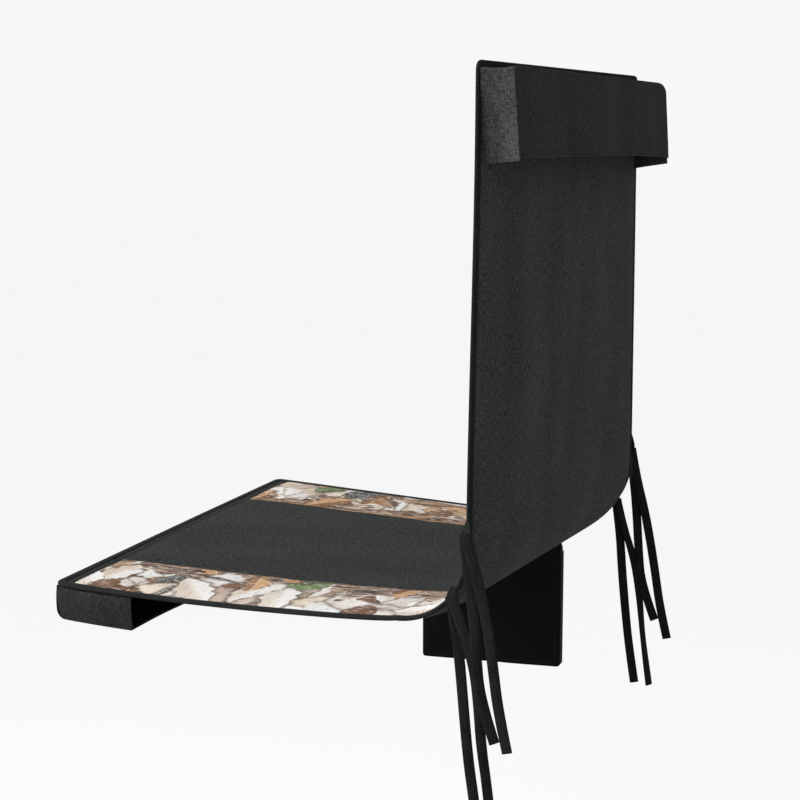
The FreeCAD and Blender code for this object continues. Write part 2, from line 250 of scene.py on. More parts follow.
class Dye:
    """One material under construction, with its Principled shader."""

    def __init__(self, name):
        self.material = bpy.data.materials.new(name)
        self.material.use_nodes = True
        self.tree = self.material.node_tree
        self.shader = self.tree.nodes["Principled BSDF"]

    def add(self, kind, settings=None, sockets=None, output=0):
        """One node: its settings first, then the values or links of its sockets."""
        node = self.tree.nodes.new(kind)
        for key, value in (settings or {}).items():
            if key == "stops":
                self.set_stops(node.color_ramp, value)
            else:
                setattr(node, key, value)
        for key, value in (sockets or {}).items():
            self.join(node.inputs[key], value)
        return Signal(self, node.outputs[output])

    def set_stops(self, ramp, stops):
        while len(ramp.elements) < len(stops):
            ramp.elements.new(0.5)
        for element, (position, colour) in zip(ramp.elements, stops):
            element.position = position
            element.color = (*colour, 1.0)

    def join(self, socket, value):
        if isinstance(value, Signal):
            self.tree.links.new(value.socket, socket)
        else:
            socket.default_value = value

    def weave_place(self):
        """The piece's own flat (u, v) place in metres, as a vector."""
        return self.add("ShaderNodeUVMap", {"uv_map": "weave"})

    def axes(self, vector):
        split = self.add("ShaderNodeSeparateXYZ", None, {0: vector})
        node = split.socket.node
        return [Signal(self, node.outputs[number]) for number in range(3)]

    def scaled(self, vector, along, across):
        """A vector with its two flat axes scaled apart."""
        factors = (along, across, along)
        return self.add("ShaderNodeVectorMath", {"operation": "MULTIPLY"}, {0: vector, 1: factors})

    def shifted(self, vector, shift):
        """A vector moved by a flat shift."""
        return self.add("ShaderNodeVectorMath", {"operation": "ADD"}, {0: vector, 1: (*shift, 0.0)})

    def object_place(self):
        """The place on the piece in its own object coordinates."""
        return self.add("ShaderNodeTexCoord", output=3)

    def noise(self, vector, scale, detail=2.0, rough=0.5, warp=0.0):
        return self.add("ShaderNodeTexNoise", {}, {
            "Vector": vector, "Scale": scale, "Detail": detail, "Roughness": rough, "Distortion": warp})

    def bend(self, vector, scale, reach):
        """The same place pushed about by a coloured noise, by up to the reach."""
        wander = self.noise(vector, scale, 3.0, 0.6).socket.node
        return self.add("ShaderNodeVectorMath", {"operation": "MULTIPLY_ADD"},
                        {0: Signal(self, wander.outputs[1]), 1: (reach, reach, 0), 2: vector})

    def blend(self, amount, first, second, kind="MIX"):
        """Mix of two colours."""
        return self.add("ShaderNodeMix", {"data_type": "RGBA", "blend_type": kind},
                        {0: amount, 6: first, 7: second}, output=2)

    def ramp(self, amount, stops, kind="LINEAR"):
        node = self.add("ShaderNodeValToRGB", {"stops": stops}, {0: amount})
        node.socket.node.color_ramp.interpolation = kind
        return node

    def finish(self, colour, rough, height=None, depth=0.0003, strength=1.0, **fixed):
        self.join(self.shader.inputs["Base Color"], colour)
        self.join(self.shader.inputs["Roughness"], rough)
        if height is not None:
            bump = self.add("ShaderNodeBump", {},
                            {"Strength": strength, "Distance": depth, "Height": height})
            self.join(self.shader.inputs["Normal"], bump)
        for name, value in fixed.items():
            self.shader.inputs[name.replace("_", " ")].default_value = value
        return self.material


def ribs_of(signal, pitch):
    """Sine that rises once in every pitch."""
    return (signal * (2 * math.pi / pitch)).sine()


def woven(name, dark, light, pitch, fleck=1.0, rough=0.92):
    """Plain weave: threads rise and dip in turn at the pitch, each a short float with its own tone, under
    a salt-and-pepper grain and slow stretched patches of painted sheen: lighter and darker streaks, which
    also vary the roughness a little."""
    dye = Dye(name)
    place = dye.weave_place()
    u, v, _ = dye.axes(place)
    rise = ribs_of(u, pitch) * ribs_of(v, pitch) * 0.5 + 0.5
    warp = dye.noise(dye.scaled(place, 1.0 / pitch, 0.2 / pitch), 1.0, 2.0)
    weft = dye.noise(dye.scaled(place, 0.2 / pitch, 1.0 / pitch), 1.0, 2.0)
    grain = dye.noise(place, 0.9 / pitch, 3.0, 0.75)
    # Painted sheen: slow stretched lighter and darker streaks; they also vary the roughness a little.
    sheen_streaks = dye.noise(dye.scaled(place, 16.0, 5.0), 1.0, 3.0, 0.55)
    tone = ((warp - 0.5) * 0.8 + (weft - 0.5) * 0.8 + (grain - 0.5) * 1.1) * fleck
    tone = 0.45 + tone + (rise - 0.5) * 0.22 + (sheen_streaks - 0.5) * 0.55
    colour = dye.ramp(tone, [(0.0, dark), (1.0, light)])
    height = rise * 0.6 + warp * 0.3 + weft * 0.3 + grain * 0.5
    return dye.finish(colour, 0.05 * sheen_streaks + rough, height, depth=0.0003, strength=0.6,
                      Sheen_Weight=0.03, Sheen_Roughness=0.6, Specular_IOR_Level=0.08)


def ribbed(name, dark, light, rib, rough):
    """Grosgrain tape: ribs across its length at the rib's pitch, crossed by fainter lines; fibres lighten
    it in streaks along its length."""
    dye = Dye(name)
    place = dye.weave_place()
    u, v, _ = dye.axes(place)
    ribs = ribs_of(u, rib) * 0.5 + 0.5
    cross = ribs_of(v, rib * 0.9) * 0.5 + 0.5
    streak = dye.noise(dye.scaled(place, 60, 700), 1.0, 3.0, 0.6)
    fuzz = dye.noise(place, 1500, 3.0, 0.7)
    tone = ribs * 0.62 + cross * 0.20 + (streak - 0.5) * 1.3 + (fuzz - 0.5) * 1.2 + 0.08
    colour = dye.ramp(tone, [(0.0, dark), (1.0, light)])
    height = ribs * 0.8 + cross * 0.3 + fuzz * 0.3
    return dye.finish(colour, rough, height, depth=0.0003, strength=0.7,
                      Sheen_Weight=0.02, Sheen_Roughness=0.5, Specular_IOR_Level=0.12)


def coated_nylon(name):
    """Smooth coated nylon: near-black, with a faint square rip-stop grid, shallow crinkles and a low
    gloss."""
    dye = Dye(name)
    place = dye.weave_place()
    u, v, _ = dye.axes(place)
    grid = 0.0052
    line_u, line_v = ((axis * (2 * math.pi / grid)).cosine().most(0.0) ** 30.0 for axis in (u, v))
    crinkle = dye.noise(place, 38, 4.0, 0.6, 0.6)
    dust = dye.noise(place, 420, 3.0, 0.7)
    tone = line_u.most(line_v) * 0.15 + (crinkle - 0.5) * 0.5 + (dust - 0.5) * 0.3 + 0.35
    colour = dye.ramp(tone, [(0.0, (0.0004, 0.0005, 0.0005)), (1.0, (0.0030, 0.0034, 0.0034))])
    height = line_u.most(line_v) * 0.15 + crinkle * 1.4
    return dye.finish(colour, 0.30 + crinkle * 0.2, height, depth=0.0006, strength=0.45,
                      Specular_IOR_Level=0.14)


def sewing_thread(name, colour):
    """Twisted thread: fine slanting ply lines on a plain colour."""
    dye = Dye(name)
    place = dye.object_place()
    fibre = dye.noise(place, 5200, 2.0, 0.6)
    shade = dye.blend(fibre, (*[c * 0.6 for c in colour], 1.0), (*[c * 1.5 for c in colour], 1.0))
    return dye.finish(shade, 0.7 + 0.1 * fibre, fibre, depth=0.0001, strength=0.5)


def foam_sheet(name):
    """Open-cell foam: grey, with round cells that show as small dark pits."""
    dye = Dye(name)
    place = dye.object_place()
    cells = dye.add("ShaderNodeTexVoronoi", {}, {"Vector": place, "Scale": 900.0})
    colour = dye.ramp(cells, [(0.0, (0.10, 0.10, 0.10)), (0.6, (0.33, 0.33, 0.32))])
    return dye.finish(colour, 0.95, cells, depth=0.0004)


# ---- camouflage print ----
def clamped(signal):
    """The signal held between 0 and 1."""
    return signal.most(0.0).least(1.0)


def random_cells(dye, place, scale, shift, loose=1.0):
    """Cells round scattered seed points: the place measured from the cell's own seed and turned by the
    cell's own random angle, and three random numbers that belong to the cell."""
    moved = dye.shifted(place, shift)
    cells = dye.add("ShaderNodeTexVoronoi", {"voronoi_dimensions": "2D"},
                    {"Vector": moved, "Scale": scale, "Randomness": loose}, output=1)
    seed = dye.axes(Signal(dye, cells.socket.node.outputs["Position"]))
    chance = dye.axes(cells)
    here = dye.axes(moved)
    dx, dy = here[0] - seed[0], here[1] - seed[1]
    angle = chance[0] * (2 * math.pi)
    cosine, sine = angle.cosine(), angle.sine()
    return dx * cosine + dy * sine, dy * cosine - dx * sine, chance


def cell_gap(dye, place, scale, shift):
    """Distance from the nearest border between the same cells, as a share of a cell."""
    moved = dye.shifted(place, shift)
    return dye.add("ShaderNodeTexVoronoi", {"voronoi_dimensions": "2D", "feature": "DISTANCE_TO_EDGE"},
                   {"Vector": moved, "Scale": scale, "Randomness": 1.0})


def litter(dye, place, scale, shift, palette):
    """Ground of overlapping dead leaves: each cell takes a colour of the palette, shades from light to
    dark across itself, and sinks into shadow at its border."""
    along, across, chance = random_cells(dye, place, scale, shift)
    gap = cell_gap(dye, place, scale, shift)
    body = dye.ramp(chance[1], palette, "CONSTANT")
    lit = clamped(along * (scale * 0.9) + 0.66)
    vein = clamped((0.0010 - abs(across)) * 1500) * 0.30
    shaded = dye.blend(lit * 0.50 + 0.50, (0.22, 0.13, 0.085, 1.0), body)
    shaded = dye.blend(vein, shaded, (0.52, 0.38, 0.26, 1.0))
    return dye.blend(clamped(gap * 14.0) * 0.62 + 0.38, (0.07, 0.045, 0.032, 1.0), shaded)


def leaf_layer(dye, under, place, scale, shift, length, width, lobes, density, dark, light, rib):
    """One scatter of leaves over the colour under it.  A leaf is the part of a cell where the distance
    across is under a width that swells and closes along the leaf, with teeth cut into it by a wave.  It
    has a dark ring of shadow, a pale midrib, slanting veins, and one half lighter than the other."""
    far, wide, chance = random_cells(dye, place, scale, shift, 0.9)
    along, across = far / length, wide / width
    curl = across + along * along * (chance[1] - 0.5) * 0.9
    swell = (1.0 - along * along).most(0.0)
    tooth = (along * lobes).sine() * 0.11 + 0.90
    inside = swell * tooth - abs(curl)
    there = chance[2] < density
    shadow = clamped((inside + 0.36) * 2.8) * there * 0.66
    mask = clamped(inside * 14.0) * there
    slant = ((abs(curl) * 1.2 - along * 2.4) * 14.0).sine() * 0.5 + 0.5
    half_shade = clamped(curl * 2.2 + 0.5)
    tone = clamped(half_shade * 0.62 + slant * 0.16 + chance[1] * 0.30)
    body = dye.blend(tone, (*dark, 1.0), (*light, 1.0))
    midrib = clamped((0.07 - abs(curl)) * 18.0)
    leaf = dye.blend(midrib * 0.75, body, (*rib, 1.0))
    return dye.blend(mask, dye.blend(shadow, under, (0.06, 0.036, 0.024, 1.0)), leaf)


# Cell scale, shift, half length, half width, teeth, share of cells, dark, light and midrib colour.
SCATTERS = [
    (13, (3.1, 1.7), 0.040, 0.020, 17.0, 0.50, (0.52, 0.42, 0.34), (0.95, 0.93, 0.90), (0.90, 0.84, 0.77)),
    (10, (2.2, 3.9), 0.085, 0.0056, 3.0, 0.40,
     (0.035, 0.036, 0.038), (0.34, 0.33, 0.31), (0.50, 0.48, 0.45)),
    (12, (1.3, 8.2), 0.044, 0.021, 15.0, 0.40, (0.64, 0.53, 0.44), (0.97, 0.95, 0.93), (0.80, 0.70, 0.60)),
    (15, (7.7, 4.9), 0.034, 0.015, 21.0, 0.34, (0.22, 0.10, 0.045), (0.66, 0.42, 0.22), (0.88, 0.70, 0.50)),
    (12, (9.4, 6.3), 0.026, 0.018, 7.5, 0.11, (0.05, 0.085, 0.03), (0.21, 0.29, 0.12), (0.42, 0.48, 0.28)),
    (17, (5.5, 2.6), 0.030, 0.012, 19.0, 0.20, (0.10, 0.050, 0.025), (0.50, 0.31, 0.17), (0.80, 0.66, 0.50)),
]


def camouflage(name):
    """Generic leaf-litter print: pale dead leaves over each other, dark streaked bark along the strip's
    inner edge, speckled moss, then scatters of cream, orange and green leaves and grey twigs, with a thin
    tan line at the inner seam and the fine weave of the cloth over it all."""
    dye = Dye(name)
    place = dye.weave_place()
    u, v, _ = dye.axes(place)
    bent = dye.bend(dye.bend(place, 26, 0.013), 130, 0.0042)
    palette = [(0.0, (0.97, 0.94, 0.90)), (0.30, (0.84, 0.74, 0.62)), (0.48, (0.66, 0.55, 0.49)),
               (0.60, (0.95, 0.94, 0.92)), (0.78, (0.60, 0.42, 0.26)), (0.88, (0.24, 0.13, 0.075))]
    lower = litter(dye, bent, 19.0, (2.3, 5.1), palette)
    upper = litter(dye, bent, 27.0, (8.4, 1.9), palette)
    choice = clamped((dye.noise(bent, 20, 2.0) - 0.5) * 40)
    colour = dye.blend(choice, lower, upper)
    mottle = dye.noise(bent, 120, 4.0, 0.7)
    colour = dye.blend(clamped((mottle - 0.52) * 5) * 0.5, colour, (0.30, 0.20, 0.14, 1.0))
    speck = dye.noise(place, 260, 4.0, 0.75)
    moss = dye.ramp(speck, [(0.40, (0.03, 0.032, 0.034)), (0.55, (0.16, 0.16, 0.155)),
                            (0.66, (0.55, 0.53, 0.50))])
    mossy = clamped((dye.noise(bent, 12, 2.0) - 0.62) * 40)
    colour = dye.blend(mossy, colour, moss)
    streak = dye.noise(dye.scaled(bent, 210, 22), 1.0, 5.0, 0.7, 0.5)
    bark = dye.ramp(streak, [(0.38, (0.020, 0.011, 0.007)), (0.48, (0.15, 0.080, 0.048)),
                             (0.55, (0.40, 0.27, 0.18)), (0.64, (0.84, 0.76, 0.68))])
    from_seam = abs(u) - CAMO_EDGE
    edge_noise = dye.noise(place, 15, 3.0, 0.6)
    near_seam = clamped(((edge_noise - 0.38) * 0.26 - from_seam) * 110) * 0.92
    for number, scatter in enumerate(SCATTERS):
        if number == 3:
            colour = dye.blend(near_seam, colour, bark)
        colour = leaf_layer(dye, colour, bent, *scatter)
    colour = dye.blend(0.32, colour, colour, "OVERLAY")
    fibres = dye.noise(dye.scaled(bent, 95, 520), 1.0, 4.0, 0.65, 0.4)
    cracks = dye.noise(dye.scaled(bent, 460, 80), 1.0, 4.0, 0.65, 0.6)
    colour = dye.blend(clamped((0.46 - fibres) * 7) * 0.42, colour, (0.20, 0.12, 0.08, 1.0))
    colour = dye.blend(clamped((cracks - 0.53) * 8) * 0.6, colour, (0.98, 0.95, 0.91, 1.0))
    dapple = dye.noise(bent, 55, 3.0, 0.6)
    colour = dye.blend(clamped((dapple - 0.46) * 3) * 0.6, colour, (0.92, 0.89, 0.85, 1.0), "SOFT_LIGHT")
    seam_line = clamped((0.0030 - from_seam) * 1500)
    colour = dye.blend(seam_line * 0.6, colour, (0.42, 0.24, 0.11, 1.0))
    fine = 0.0008
    rise = ribs_of(u, fine) * ribs_of(v, fine) * 0.5 + 0.5
    grain = dye.noise(place, 700, 3.0, 0.65)
    colour = dye.blend(0.18, colour, dye.ramp(grain, [(0.3, (0.2, 0.2, 0.2)), (0.7, (1, 1, 1))]), "MULTIPLY")
    height = rise * 0.7 + grain * 0.5
    return dye.finish(colour, 0.80 + grain * 0.1, height, depth=0.00025, strength=0.5,
                      Sheen_Weight=0.02, Specular_IOR_Level=0.12)


CHARCOAL = woven("charcoal_oxford", (0.009, 0.0094, 0.0102), (0.132, 0.136, 0.146), 0.0012, 1.5)
SEAT_CHARCOAL = woven("seat_oxford", (0.004, 0.0042, 0.0043), (0.058, 0.060, 0.061), 0.0012, 1.9)
GUSSET = woven("sleeve_side_oxford", (0.012, 0.0122, 0.013), (0.125, 0.127, 0.131), 0.0012, 1.6)
BLACK = woven("black_sleeve_oxford", (0.006, 0.0062, 0.0066), (0.086, 0.088, 0.092), 0.0012, 1.4)
COATED = woven("coated_base_cloth", (0.002, 0.002, 0.0022), (0.046, 0.047, 0.048), 0.0010, 1.7, 0.72)
CAMO = camouflage("leaf_litter_print")
TAPE = ribbed("binding_grosgrain", (0.0010, 0.0010, 0.0011), (0.033, 0.034, 0.035), 0.0024, 0.85)
RIBBON = ribbed("tie_ribbon_grosgrain", (0.0008, 0.0008, 0.0009), (0.028, 0.028, 0.029), 0.0020, 0.80)
NYLON = coated_nylon("pouch_nylon_black")
THREAD = sewing_thread("black_thread", (0.055, 0.055, 0.057))
FOAM = foam_sheet("grey_foam")


# =====================================================================================
# Camera
# =====================================================================================
CAMERA_AZIMUTH = math.radians(116.018)
CAMERA_ELEVATION = math.radians(8.904)
CAMERA_BACK, CAMERA_LEFT, CAMERA_UP = 1.7792, 0.1634, 0.1761
SENSOR_MM, LENS_MM = 36.0, 76.76


def place_camera():
    """Camera behind the cover and to the sitter's left, a little above the seat."""
    flat = math.cos(CAMERA_ELEVATION)
    back = Vector((math.sin(CAMERA_AZIMUTH) * flat, -math.cos(CAMERA_AZIMUTH) * flat,
                   math.sin(CAMERA_ELEVATION)))
    right = Vector((math.cos(CAMERA_AZIMUTH), math.sin(CAMERA_AZIMUTH), 0))
    up = back.cross(right)
    camera = bpy.data.objects.new("camera", bpy.data.cameras.new("camera"))
    bpy.context.collection.objects.link(camera)
    camera.data.sensor_width = SENSOR_MM
    camera.data.lens = LENS_MM
    camera.location = back * CAMERA_BACK - right * CAMERA_LEFT + up * CAMERA_UP
    camera.rotation_mode = "QUATERNION"
    camera.rotation_quaternion = (-back).to_track_quat("-Z", "Y")
    bpy.context.scene.camera = camera


# =====================================================================================
# Ties
# =====================================================================================
RIBBON_WIDTH = 0.010
RIBBON_THICKNESS = 0.0010
STRAND_PLANES = {("upper", "inner"): 0.2376, ("upper", "outer"): 0.2388,
                 ("lower", "inner"): 0.2346, ("lower", "outer"): 0.2358}
# Turn of each ribbon's flat side about its path at its tab and at its free end, in radians, then the
# points of its route as (y, z) in millimetres, from the tab to the free end.
TIES = {
    ("left", "upper", "inner"): (0.25, 0.70, [(-1, 88), (3, 52), (9, 12), (12, -26), (17, -68), (31, -107)]),
    ("left", "upper", "outer"): (0.35, 0.30, [(1, 88), (13, 48), (23, 6), (29, -32), (35, -76), (44, -114)]),
    ("left", "lower", "inner"): (0.50, 0.40, [
        (-16, 27), (-9, -6), (-5, -42), (-1, -86), (4, -132), (10, -170), (13, -195)]),
    ("left", "lower", "outer"): (0.20, 0.75, [
        (-14, 27), (-3, -2), (9, -36), (14, -74), (17, -112), (24, -154), (28, -193)]),
    ("right", "upper", "inner"): (0.30, 0.60, [(-1, 88), (5, 48), (9, 8), (12, -32), (17, -74), (33, -113)]),
    ("right", "upper", "outer"): (0.65, 0.35, [
        (1, 88), (8, 54), (18, 16), (26, -22), (33, -60), (39, -98), (48, -134)]),
    ("right", "lower", "inner"): (0.40, 0.50, [
        (-16, 27), (-10, -12), (-7, -56), (-2, -102), (4, -150), (11, -191)]),
    ("right", "lower", "outer"): (0.90, 1.15, [
        (-14, 27), (-6, -4), (8, -44), (15, -84), (19, -124), (24, -160), (29, -192)]),
}
MILLIMETRES = 1000


def carried(piece, material_slot, body, *nodes):
    """A piece that moves with one body, and the CAD nodes that it stands for, if any."""
    if nodes:
        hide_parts(*nodes)
    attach(piece, body)


def nurbs_path(name, points):
    """Points read along the NURBS spline that has the route's points as its control points."""
    curve = bpy.data.curves.new(name, "CURVE")
    curve.dimensions = "3D"
    curve.resolution_u = 24
    spline = curve.splines.new("NURBS")
    spline.points.add(len(points) - 1)
    spline.points.foreach_set("co", np.concatenate([points, np.ones((len(points), 1))], 1).ravel())
    spline.order_u = 3
    spline.use_endpoint_u = True
    carrier = bpy.data.objects.new(name, curve)
    bpy.context.collection.objects.link(carrier)
    bpy.context.view_layer.update()
    mesh = bpy.data.meshes.new_from_object(carrier)
    path = np.empty(len(mesh.vertices) * 3)
    mesh.vertices.foreach_get("co", path)
    bpy.data.objects.remove(carrier)
    bpy.data.meshes.remove(mesh)
    return path.reshape(-1, 3)


def ribbon(name, path, twist_start, twist_end):
    """Flat ribbon: an oblong ring with rounded edges carried along the path, its flat side turned about
    the path by an angle that eases from the first twist to the last, and a slight cupping."""
    line = spread(path, 0.0025)
    along = unit(np.gradient(line, axis=0))
    flat = unit(np.cross(along, np.array([1.0, 0, 0])))
    through = np.cross(flat, along)
    travelled = np.linspace(0, 1, len(line))[:, None]
    angle = twist_start + (twist_end - twist_start) * smooth(travelled) + 0.12 * np.sin(travelled * 11)
    side = flat * np.cos(angle) + through * np.sin(angle)
    thick = np.cross(along, side)
    turn = np.linspace(0, 2 * math.pi, 16, endpoint=False)
    wide = np.sign(np.cos(turn)) * np.abs(np.cos(turn)) ** 0.45 * RIBBON_WIDTH / 2
    deep = np.sign(np.sin(turn)) * np.abs(np.sin(turn)) ** 0.7 * RIBBON_THICKNESS / 2
    cup = 0.0006 * ((wide / RIBBON_WIDTH * 2) ** 2)
    rings = (line[:, None] + side[:, None] * wide[None, :, None]
             + thick[:, None] * (deep + cup)[None, :, None])
    distance = np.linspace(0, travel(line)[-1], len(line))
    weave = joined(distance[:, None], wide[None, :])
    return loft(name, rings, weave, RIBBON, sharp=70)


def make_ties():
    """Eight ribbons, each with its route and its body."""
    for (side, level, layer), (twist_start, twist_end, route) in TIES.items():
        sign = 1 if side == "left" else -1
        x = sign * STRAND_PLANES[level, layer]
        points = np.array([(x, y / MILLIMETRES, z / MILLIMETRES) for y, z in route])
        name = f"tie_{side}_{level}_{layer}"
        path = nurbs_path(name + "_route", points)
        piece = ribbon(name + "_ribbon", path, twist_start, twist_end)
        carried(piece, "tie_ribbon", f"ties_{side}_{level}", name)


# =====================================================================================
# The cover's surface
# =====================================================================================
def line_at(s):
    """Point (y, z) of the sitter's face and the direction (y, z) that faces the sitter: level from the
    front edge, a quarter circle at the bend, then straight up."""
    turned = np.clip((s - SEAT_RUN) / BEND, 0, math.pi / 2)
    level = np.minimum(s, SEAT_RUN)
    climb = np.maximum(s - SEAT_RUN - ARC, 0)
    y = FRONT + level + BEND * np.sin(turned)
    z = BEND * (1 - np.cos(turned)) + climb
    return y, z, -np.sin(turned), np.cos(turned)


def drape(x, s):
    """How far the soft cover lies off its flat shape, towards the sitter.  The seat is twisted, its left
    front corner low and its right front corner high, and its left edge sags between the corners.  The
    back leans to the sitter along its right edge, and its left edge leans from front to rear with height."""
    seat_share = np.clip(s / SEAT_RUN, 0, 1)
    to_left = smooth((HALF + x) / (2 * HALF))
    twist = -x * math.tan(TWIST) * (1 - seat_share)
    on_back = smooth((s - SEAT_RUN) / ARC)
    deep = END_SAG + (SIDE_SAG - END_SAG) * np.sin(math.pi * seat_share) ** 0.6
    sag = -deep * to_left ** 2 * (1 - on_back)
    climb = smooth((s - SEAT_RUN - ARC) / (LENGTH - SEAT_RUN - ARC) / 0.85)
    lean = (0.0016 - 0.0038 * climb) * to_left + 0.0004 * (1 - to_left)
    return twist + sag + on_back * lean


def on_cover(x, s, rise):
    """Points of the draped cover at x to the side, s along it, and rise off the sitter's face."""
    x, s, rise = np.broadcast_arrays(x, s, rise)
    y, z, face_y, face_z = line_at(s)
    lift = rise + drape(x, s)
    tilt = TOP_TILT * (0.4 + 0.6 * x / HALF) * smooth((s - SHOULDER) / (LENGTH - SHOULDER))
    return np.stack([x, y + face_y * lift, z + face_z * lift + tilt], -1)


def half_at(s, inset):
    """Half the cover's width at s, less an inset: full width up to the shoulder, then narrowing to the
    top, with a quarter circle taken off at each corner."""
    narrowing = np.clip((s - SHOULDER) / (LENGTH - SHOULDER), 0, 1)
    half = HALF - (HALF - TOP_HALF) * narrowing - inset
    for to_end, radius in ((s, FRONT_CORNER), (LENGTH - s, TOP_CORNER)):
        inner = max(radius - inset, 0.0001)
        left = np.clip(inner - (to_end - inset), 0, inner)
        half = half - (inner - np.sqrt(inner * inner - left * left))
    return half


def rows_between(start, end):
    """Distances along the cover, closer together near its two rounded ends."""
    count = max(4, round((end - start) / CELL))
    even = np.linspace(start, end, count)
    ends = [start + (end - start) * 0.02 * (1 - np.cos(np.linspace(0, math.pi / 2, 7)))]
    ends.append(end - (ends[0] - start))
    return np.unique(np.round(np.concatenate([even] + ends), 5))


def to_edge(x, s):
    """Distance from a point of the cover in to the nearest edge's binding."""
    nearest = np.minimum(half_at(s, 0) - np.abs(x), np.minimum(s, LENGTH - s))
    return np.maximum(nearest - BINDING_REACH * 0.6, 0)


def settle(name, seams, cap):
    """Cloth simulation of one face of the cover, sewn down round its edge and along its seams: a flat
    grid a little slacker than its frame, blown up by a slight pressure, which buckles into folds.  Gives
    the heights of the settled grid, evened out between neighbours and held under a cap."""
    columns, rows = round(2 * HALF / FOLD_GRID) + 1, round(LENGTH / FOLD_GRID) + 1
    x, s = np.meshgrid(np.linspace(-HALF, HALF, columns), np.linspace(0, LENGTH, rows))
    start = np.random.default_rng(11).uniform(-1, 1, x.shape) * FOLD_GRID * 0.03
    mesh = bpy.data.meshes.new(name)
    mesh.from_pydata(np.stack([x, s, start], -1).reshape(-1, 3), [], grid_faces(rows, columns).tolist())
    sheet = bpy.data.objects.new(name, mesh)
    bpy.context.collection.objects.link(sheet)
    held = (np.minimum(HALF - np.abs(x), np.minimum(s, LENGTH - s)) < BINDING_REACH) | seams(x, s)
    sewn = sheet.vertex_groups.new(name="sewn")
    sewn.add(np.flatnonzero(held.ravel()).tolist(), 1.0, "REPLACE")
    cloth_modifier = sheet.modifiers.new("cloth", "CLOTH")
    cloth_modifier.point_cache.frame_start = 1
    cloth_modifier.point_cache.frame_end = SETTLING_FRAMES
    cloth_settings = cloth_modifier.settings
    cloth_settings.vertex_group_mass = "sewn"
    cloth_settings.quality = 6
    cloth_settings.mass = 0.25
    cloth_settings.tension_stiffness = 25
    cloth_settings.compression_stiffness = 25
    cloth_settings.bending_stiffness = 6
    cloth_settings.shrink_min = -FOLD_SLACK
    cloth_settings.use_pressure = True
    cloth_settings.uniform_pressure_force = FOLD_PRESSURE
    cloth_settings.effector_weights.gravity = 0
    for frame_number in range(1, SETTLING_FRAMES + 1):
        bpy.context.scene.frame_set(frame_number)
    settled = sheet.evaluated_get(bpy.context.evaluated_depsgraph_get()).data
    places = np.empty(rows * columns * 3)
    settled.vertices.foreach_get("co", places)
    bpy.data.objects.remove(sheet)
    bpy.context.scene.frame_set(1)
    height = places.reshape(rows, columns, 3)[..., 2]
    for axis in (0, 1, 0, 1):
        height = (np.roll(height, 1, axis) + 2 * height + np.roll(height, -1, axis)) / 4
    return cap * np.tanh(height / cap)


def height_at(field, x, s):
    """Height of a settled face at any place, in straight lines between its grid points."""
    rows, columns = field.shape
    across = np.clip((x + HALF) / (2 * HALF), 0, 1) * (columns - 1)
    along = np.clip(s / LENGTH, 0, 1) * (rows - 1)
    column = np.minimum(across.astype(int), columns - 2)
    row = np.minimum(along.astype(int), rows - 2)
    u, v = across - column, along - row
    near = field[row, column] * (1 - u) + field[row, column + 1] * u
    far = field[row + 1, column] * (1 - u) + field[row + 1, column + 1] * u
    return near * (1 - v) + far * v


def on_seams(x, s):
    """Where the sitter's face is sewn down inside its edge: the side strips' seams and the front band's."""
    return (np.abs(np.abs(x) - CAMO_EDGE) < FOLD_GRID / 2) | (np.abs(s - BAND_END) < FOLD_GRID / 2)


def puckers(x, s, seed):
    """Small gathers where the binding's stitches draw the cloth in: short ripples that die away within
    two centimetres of the edge."""
    dice = np.random.default_rng(seed)
    near = np.exp(-to_edge(x, s) / GATHER_REACH)
    across = np.sin((x + s * 0.3) * 2 * math.pi / 0.021 + dice.uniform(0, 6))
    return near * (across * np.sin(s * 2 * math.pi / 0.017))


def face_rise(x, s):
    """Height of the sitter's face: pressed down at the binding, swelling to a low crown, with a groove
    along each seam, and the settled folds over that."""
    x, s = np.broadcast_arrays(x, s)
    swell = 1 - np.exp(-to_edge(x, s) / FACE_SWELL_REACH)
    seam = np.exp(-(((np.abs(x) - CAMO_EDGE) / SEAM_WIDTH) ** 2))
    band = np.exp(-(((s - BAND_END) / BAND_SEAM_WIDTH) ** 2))
    folds = height_at(FACE_FOLDS, x, s) * swell
    groove = SEAM_DEPTH * np.maximum(seam, band)
    return -0.0009 + FACE_CROWN * swell - groove + folds + 0.00022 * puckers(x, s, 8)


def back_rise(x, s):
    """Height of the outer face: pinched thin at the binding and the pad's full thickness inside, with its
    own settled folds."""
    x, s = np.broadcast_arrays(x, s)
    swell = 1 - np.exp(-to_edge(x, s) / REAR_SWELL_REACH)
    folds = height_at(REAR_FOLDS, x, s) * swell
    pinched = -EDGE_THICKNESS + 0.0009
    full = -PAD - 0.0004
    return pinched + (full - pinched) * swell - folds + 0.00025 * puckers(x, s, 3)


FACE_FOLDS = settle("face_folds", on_seams, cap=0.0020)
REAR_FOLDS = settle("rear_folds", lambda x, s: np.zeros(x.shape, bool), cap=0.0024)


def face_panel(name, low, high, start, end, material):
    """Panel of the sitter's face between two edges given as functions of s."""
    s = rows_between(start, end)[:, None]
    across = np.linspace(0, 1, max(6, round(float(np.max(high(s) - low(s))) / CELL)))[None]
    x = low(s) + (high(s) - low(s)) * across
    rise = face_rise(x, s)
    weave = joined(x, s)
    return cloth(name, on_cover(x, s, rise), on_cover(x, s, rise - CLOTH), weave, material)


def crossing(piece, material_slot, *nodes):
    """A piece that runs over the bend from the seat to the back."""
    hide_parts(*nodes)
    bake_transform(piece)


def left_edge(s):
    """The face cloth's left edge, just under the binding; the right edge mirrors it."""
    return half_at(s, UNDER_BINDING)


